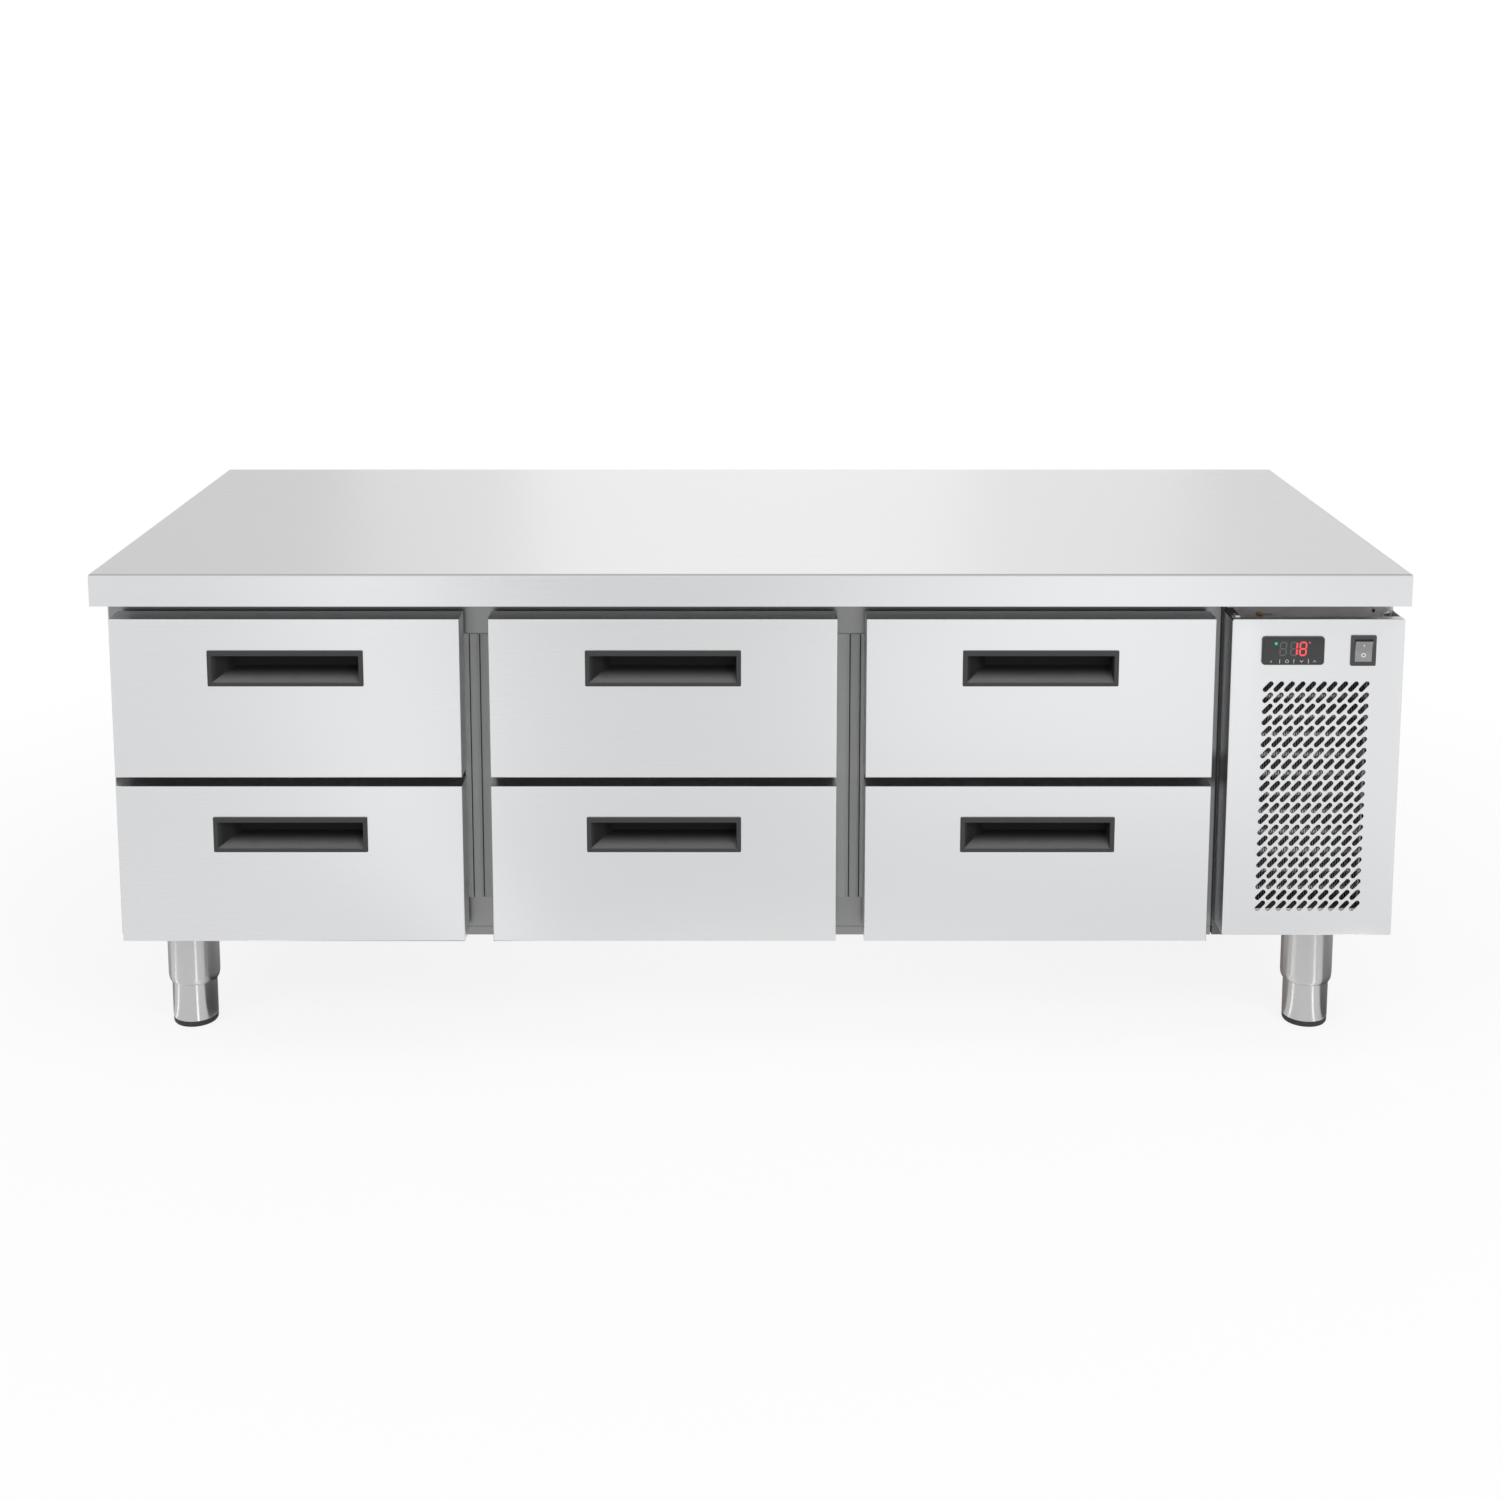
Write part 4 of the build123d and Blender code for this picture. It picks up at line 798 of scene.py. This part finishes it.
def figure(x, z, parts):
    """Strokes of a seven-part figure about its middle; parts names those drawn."""
    half_w, half_h, gap, lean = 3.65, 8.0, 0.7, 0.045
    places = {
        "top": ((-half_w + gap, half_h), (half_w - gap, half_h)),
        "middle": ((-half_w + gap, 0), (half_w - gap, 0)),
        "bottom": ((-half_w + gap, -half_h), (half_w - gap, -half_h)),
        "upper_left": ((-half_w, gap), (-half_w, half_h - gap)),
        "upper_right": ((half_w, gap), (half_w, half_h - gap)),
        "lower_left": ((-half_w, -half_h + gap), (-half_w, -gap)),
        "lower_right": ((half_w, -half_h + gap), (half_w, -gap)),
    }
    return [tuple((x + px + lean * pz, z + pz) for px, pz in places[part]) for part in parts]


all_parts = ("top", "middle", "bottom", "upper_left", "upper_right", "lower_left", "lower_right")
right_parts = ("upper_right", "lower_right")
left_parts = [part for part in all_parts if part not in right_parts]
display_y, figure_z = controller_face + lens_front, control_z + 2.6
dim_width, lit_width, fine_width, ink = 1.7, 1.9, 0.5, 0.12
figure_x = [controller_x + x for x in (-12.4, 0.6, 11.7)]
dim_strokes = figure(figure_x[0], figure_z, all_parts) + figure(figure_x[1], figure_z, left_parts)
lit_strokes = figure(figure_x[1], figure_z, right_parts) + figure(figure_x[2], figure_z, all_parts)
unlit = moulded("unlit_figure", (0.085, 0.085, 0.084), (0.10, 0.10, 0.099), 0.4)
piece("figures_unlit", bars(dim_strokes, dim_width, display_y, ink), unlit, "cabinet")
red_glow = glowing("red_glow", (1.0, 0.075, 0.085), 1.0)
piece("figures_lit", bars(lit_strokes, lit_width, display_y, ink), red_glow, "cabinet")


def ring_strokes(x, z, radius, count=14):
    """Short strokes round a circle."""
    turn = np.linspace(0, 2 * math.pi, count + 1)
    dots = np.stack([x + radius * np.cos(turn), z + radius * np.sin(turn)], 1)
    return [(tuple(a), tuple(b)) for a, b in zip(dots, dots[1:])]


degree = ring_strokes(controller_x + 19.6, control_z + 10.4, 0.8, 10)
piece("degree_mark", bars(degree, fine_width, display_y, ink), red_glow, "cabinet")
mark_z = control_z - 13.0
marks = [((x, -2.7), (x, 2.7)) for x in (-16.2, 1.0, 18.7)] + ring_strokes(-7.4, 0.0, 1.9)
marks += [((8.4, 1.1), (10.3, -1.1)), ((10.3, -1.1), (12.2, 1.1)), ((24.2, -1.1), (26.1, 1.1)),
          ((26.1, 1.1), (28.0, -1.1)), ((-27.6, -1.1), (-25.7, -1.1)), ((-26.65, -1.2), (-26.65, 1.1))]
marks = [[(controller_x + x, mark_z + z) for x, z in stroke] for stroke in marks]
pale_print = moulded("pale_print", (0.62, 0.62, 0.62), (0.72, 0.72, 0.72), 0.5)
piece("touch_marks", bars(marks, fine_width, display_y, 0.1), pale_print, "cabinet")
lamp_x, lamp_z = controller_x - 21.2, control_z + 9.1
lamp_dome = [front_ring((lamp_x, lamp_z), (1.9 - s, 1.9 - s), max(1.89 - s, 0.1), display_y - h, 6)
             for s, h in ((0.0, 0.0), (0.1, 0.2), (0.6, 0.45), (1.3, 0.55))]
piece("green_lamp", lofted(lamp_dome, True, True), glowing("green_glow", (0.02, 0.55, 0.30), 0.8),
      "cabinet")


# The rocker switch: a black frame in the panel's right window, with a smoky grey key that
# tilts on two pins and carries the plain marks for on and off.
switch_x = 745.0
piece("switch_surround", bezel_skin(switch_x, (15.4, 19.0), 2.5, 1.5, (10.65, 14.0), 0.6, 12.0),
      bezel_plastic, "cabinet", ["switch_frame"])
key_tilt = math.radians(7.0)
pivot = np.array([switch_x, face_y + 3.5, control_z])


def tilted(surface):
    """A surface built about the key's pivot, tipped as the key rests, in its place."""
    points, faces = surface
    turn = np.array([[1, 0, 0], [0, math.cos(key_tilt), -math.sin(key_tilt)],
                     [0, math.sin(key_tilt), math.cos(key_tilt)]])
    return points @ turn.T + pivot, faces


def key_skin():
    """Side outline of the key, a shallow V in front, carried across its width in rings
    that draw in a little at both ends."""
    half, face, dip, depth = 13.0, -7.0, 1.6, 9.0
    slope = np.linspace(0, 1, 9)
    front_z = np.concatenate([half * (1 - slope), -half * slope[1:]])
    front_y = face + dip * (1 - np.abs(front_z) / half)
    outline = np.stack([np.concatenate([front_y, [face + depth] * 2]),
                        np.concatenate([front_z, [-half * 0.8, half * 0.8]])], 1)
    rings = []
    for x, inset in ((-10.35, 0.5), (-9.85, 0.0), (9.85, 0.0), (10.35, 0.5)):
        middle = outline.mean(0)
        size = np.abs(outline - middle).max(0)
        small = middle + (outline - middle) * (1 - inset / size)
        rings.append(np.stack([np.full(len(small), x), small[:, 0], small[:, 1]], 1))
    return lofted(rings, True, True)


smoky_key = moulded("smoky_key", (0.21, 0.21, 0.21), (0.31, 0.31, 0.31), 0.25, 140.0)
piece("rocker_key", tilted(key_skin()), smoky_key, "rocker", ["rocker"])
upper_mark = bars([((0.0, 6.8), (0.0, 11.2))], 1.2, -6.35, 0.12)
lower_mark = bars(ring_strokes(0.0, -4.8, 2.3, 16), 1.1, -6.1, 0.2)
key_print = moulded("key_print", (0.82, 0.82, 0.82), (0.90, 0.90, 0.90), 0.5)
piece("key_marks", tilted(joined([upper_mark, lower_mark])), key_print, "rocker")


# The legs: satin stainless tubes under the base, each with a lower tube that slides in it
# to set the height and stands on a black plastic pad.
def turned(profile, x, y):
    """Surface of revolution about a vertical line: radius and height of each ring."""
    around = 48
    turn = np.linspace(0, 2 * math.pi, around, endpoint=False)
    return np.array([np.stack([x + r * np.cos(turn), y + r * np.sin(turn), np.full(around, z)], 1)
                     for r, z in profile])


leg_steel = grained_steel("leg_stainless", (0.60, 0.592, 0.59), 0.34, (14.0, 14.0, 900.0), 1.0)
black_plastic = moulded("black_plastic", (0.044, 0.045, 0.046), (0.062, 0.063, 0.065), 0.55, shine=0.15)
neck_radius, leg_radius, neck_z, neck_inside_z, shoulder_rise = 28.9, 32.5, 57.4, 68.0, 11.0
plate_half, plate_z, plate_top = 45.0, 137.0, 139.9
swell = leg_radius - neck_radius
shoulder = [(neck_radius + swell * math.sin(t), neck_z + shoulder_rise * (1 - math.cos(t)))
            for t in np.linspace(0, math.pi / 2, 9)]
tube = [(neck_radius, neck_inside_z), *shoulder, (leg_radius, plate_z - 0.5), (leg_radius + 0.6, plate_z)]
lower = ((27.6, 7.8), (28.1, 8.0), (28.5, 8.8), (28.5, 99.5), (28.0, 100.0))
pad = ((25.0, 0.0), (27.0, 0.5), (28.1, 2.2), (28.3, 4.0), (28.3, 7.4), (28.0, 7.9))
socket_skins = []
for leg in ("left_front", "left_rear", "right_front", "right_rear"):
    low, high = box_mm(f"adjustable_foot_{leg}")
    x, y = (low[0] + high[0]) / 2, (low[1] + high[1]) / 2
    plate = boxes((x - plate_half, y - plate_half, plate_z), (x + plate_half, y + plate_half, plate_top))
    socket_skins += [lofted(turned(tube, x, y)), plate]
    body = f"foot_{leg}"
    piece(f"lower_leg_{leg}", lofted(turned(lower, x, y), True, True), leg_steel, body,
          [f"adjustable_foot_{leg}"])
    piece(f"leg_pad_{leg}", lofted(turned(pad, x, y), True, True), black_plastic, body)
piece("leg_tubes", joined(socket_skins), leg_steel, "cabinet", ["leg_sockets"])


# The condensing unit behind the grille: a black finned condenser with its fan, a hermetic
# compressor, copper lines and a drier; and the evaporator in its foam box on the partition.
def fin_pattern(place):
    """Painted fins: fine upright ribs."""
    ribs = noise(place, (900.0, 900.0, 8.0), 1.0)
    return {"Base Color": tint(ribs, (0.20, 0.20, 0.202), (0.32, 0.32, 0.323)),
            "Roughness": ribs * 0.3 + 0.35, "Normal": bump(ribs, 0.4, 0.0005)}


coil_low, coil_high = box_mm("condenser_coil")
plate_wall, fin_gap, fin_wall, fin_inset, foot_rise = 2.0, 3.0, 0.9, 0.3, 24.0
fin_x = np.arange(coil_low[0] + plate_wall + fin_gap, coil_high[0] - plate_wall - 1.0, fin_gap)
fin_low = np.tile(coil_low + [0.0, fin_inset, foot_rise], (len(fin_x), 1))
fin_low[:, 0] = fin_x
fin_high = np.tile(coil_high - [0.0, fin_inset, 0.0], (len(fin_x), 1))
fin_high[:, 0] = fin_x + fin_wall
piece("condenser_fins", boxes(fin_low, fin_high), finish("black_fins", {}, fin_pattern), "cabinet",
      ["condenser_coil"])
plates = boxes([coil_low, (coil_high[0] - plate_wall, coil_low[1], coil_low[2])],
               [(coil_low[0] + plate_wall, coil_high[1], coil_high[2]), coil_high])
plate_steel = grained_steel("plate_steel", (0.86, 0.86, 0.865), 0.40, (60.0, 60.0, 60.0), metallic=0.4)
piece("condenser_plates", plates, plate_steel, "cabinet")


def bent_tube(path, y, radius):
    """A round tube along a path in x and z at one y: rings square to the path's run."""
    around = 14
    run = np.gradient(path, axis=0)
    run /= np.hypot(run[:, 0], run[:, 1])[:, None]
    turn = np.linspace(0, 2 * math.pi, around, endpoint=False)
    side = np.stack([-run[:, 1], run[:, 0]], 1)
    x = path[:, :1] + radius * np.cos(turn) * side[:, :1]
    z = path[:, 1:] + radius * np.cos(turn) * side[:, 1:]
    return lofted(np.stack([x, y + radius * np.sin(turn) + 0 * x, z], -1), True, True)


tube_pitch, tube_radius, tube_rows, first_tube, tube_inset = 25.4, 4.7, 12, 49.0, 6.6
bend_radius, bend_turn = tube_pitch / 2, np.linspace(-math.pi / 2, math.pi / 2, 9)[1:-1]
path = []
for row in range(tube_rows):
    z = coil_low[2] + first_tube + row * tube_pitch
    way = -1 if row % 2 else 1
    start_x, end_x = (coil_low[0], coil_high[0])[::way]
    path += [(start_x, z), (end_x, z)]
    if row + 1 < tube_rows:
        path += [(end_x + way * bend_radius * math.cos(t), z + bend_radius * (1 + math.sin(t)))
                 for t in bend_turn]
bare_aluminium = grained_steel("bare_aluminium", (0.90, 0.905, 0.91), 0.30, (8.0, 8.0, 900.0), metallic=0.5)
piece("condenser_tubes", bent_tube(np.array(path), coil_low[1] + tube_inset, tube_radius),
      bare_aluminium, "cabinet")
dress(zinc_steel, "condenser_fan_shroud", "fan_motors")
dress(black_plastic, "condenser_fan", "evaporator_fan", "cable_gland")
dress(moulded("black_enamel", (0.014, 0.014, 0.015), (0.022, 0.022, 0.023), 0.3, 60.0), "compressor")
dress(bare_aluminium, "evaporator_coil")
dress(grained_steel("copper_tube", (0.72, 0.36, 0.20), 0.32, (40.0, 40.0, 40.0)), "refrigerant_lines")
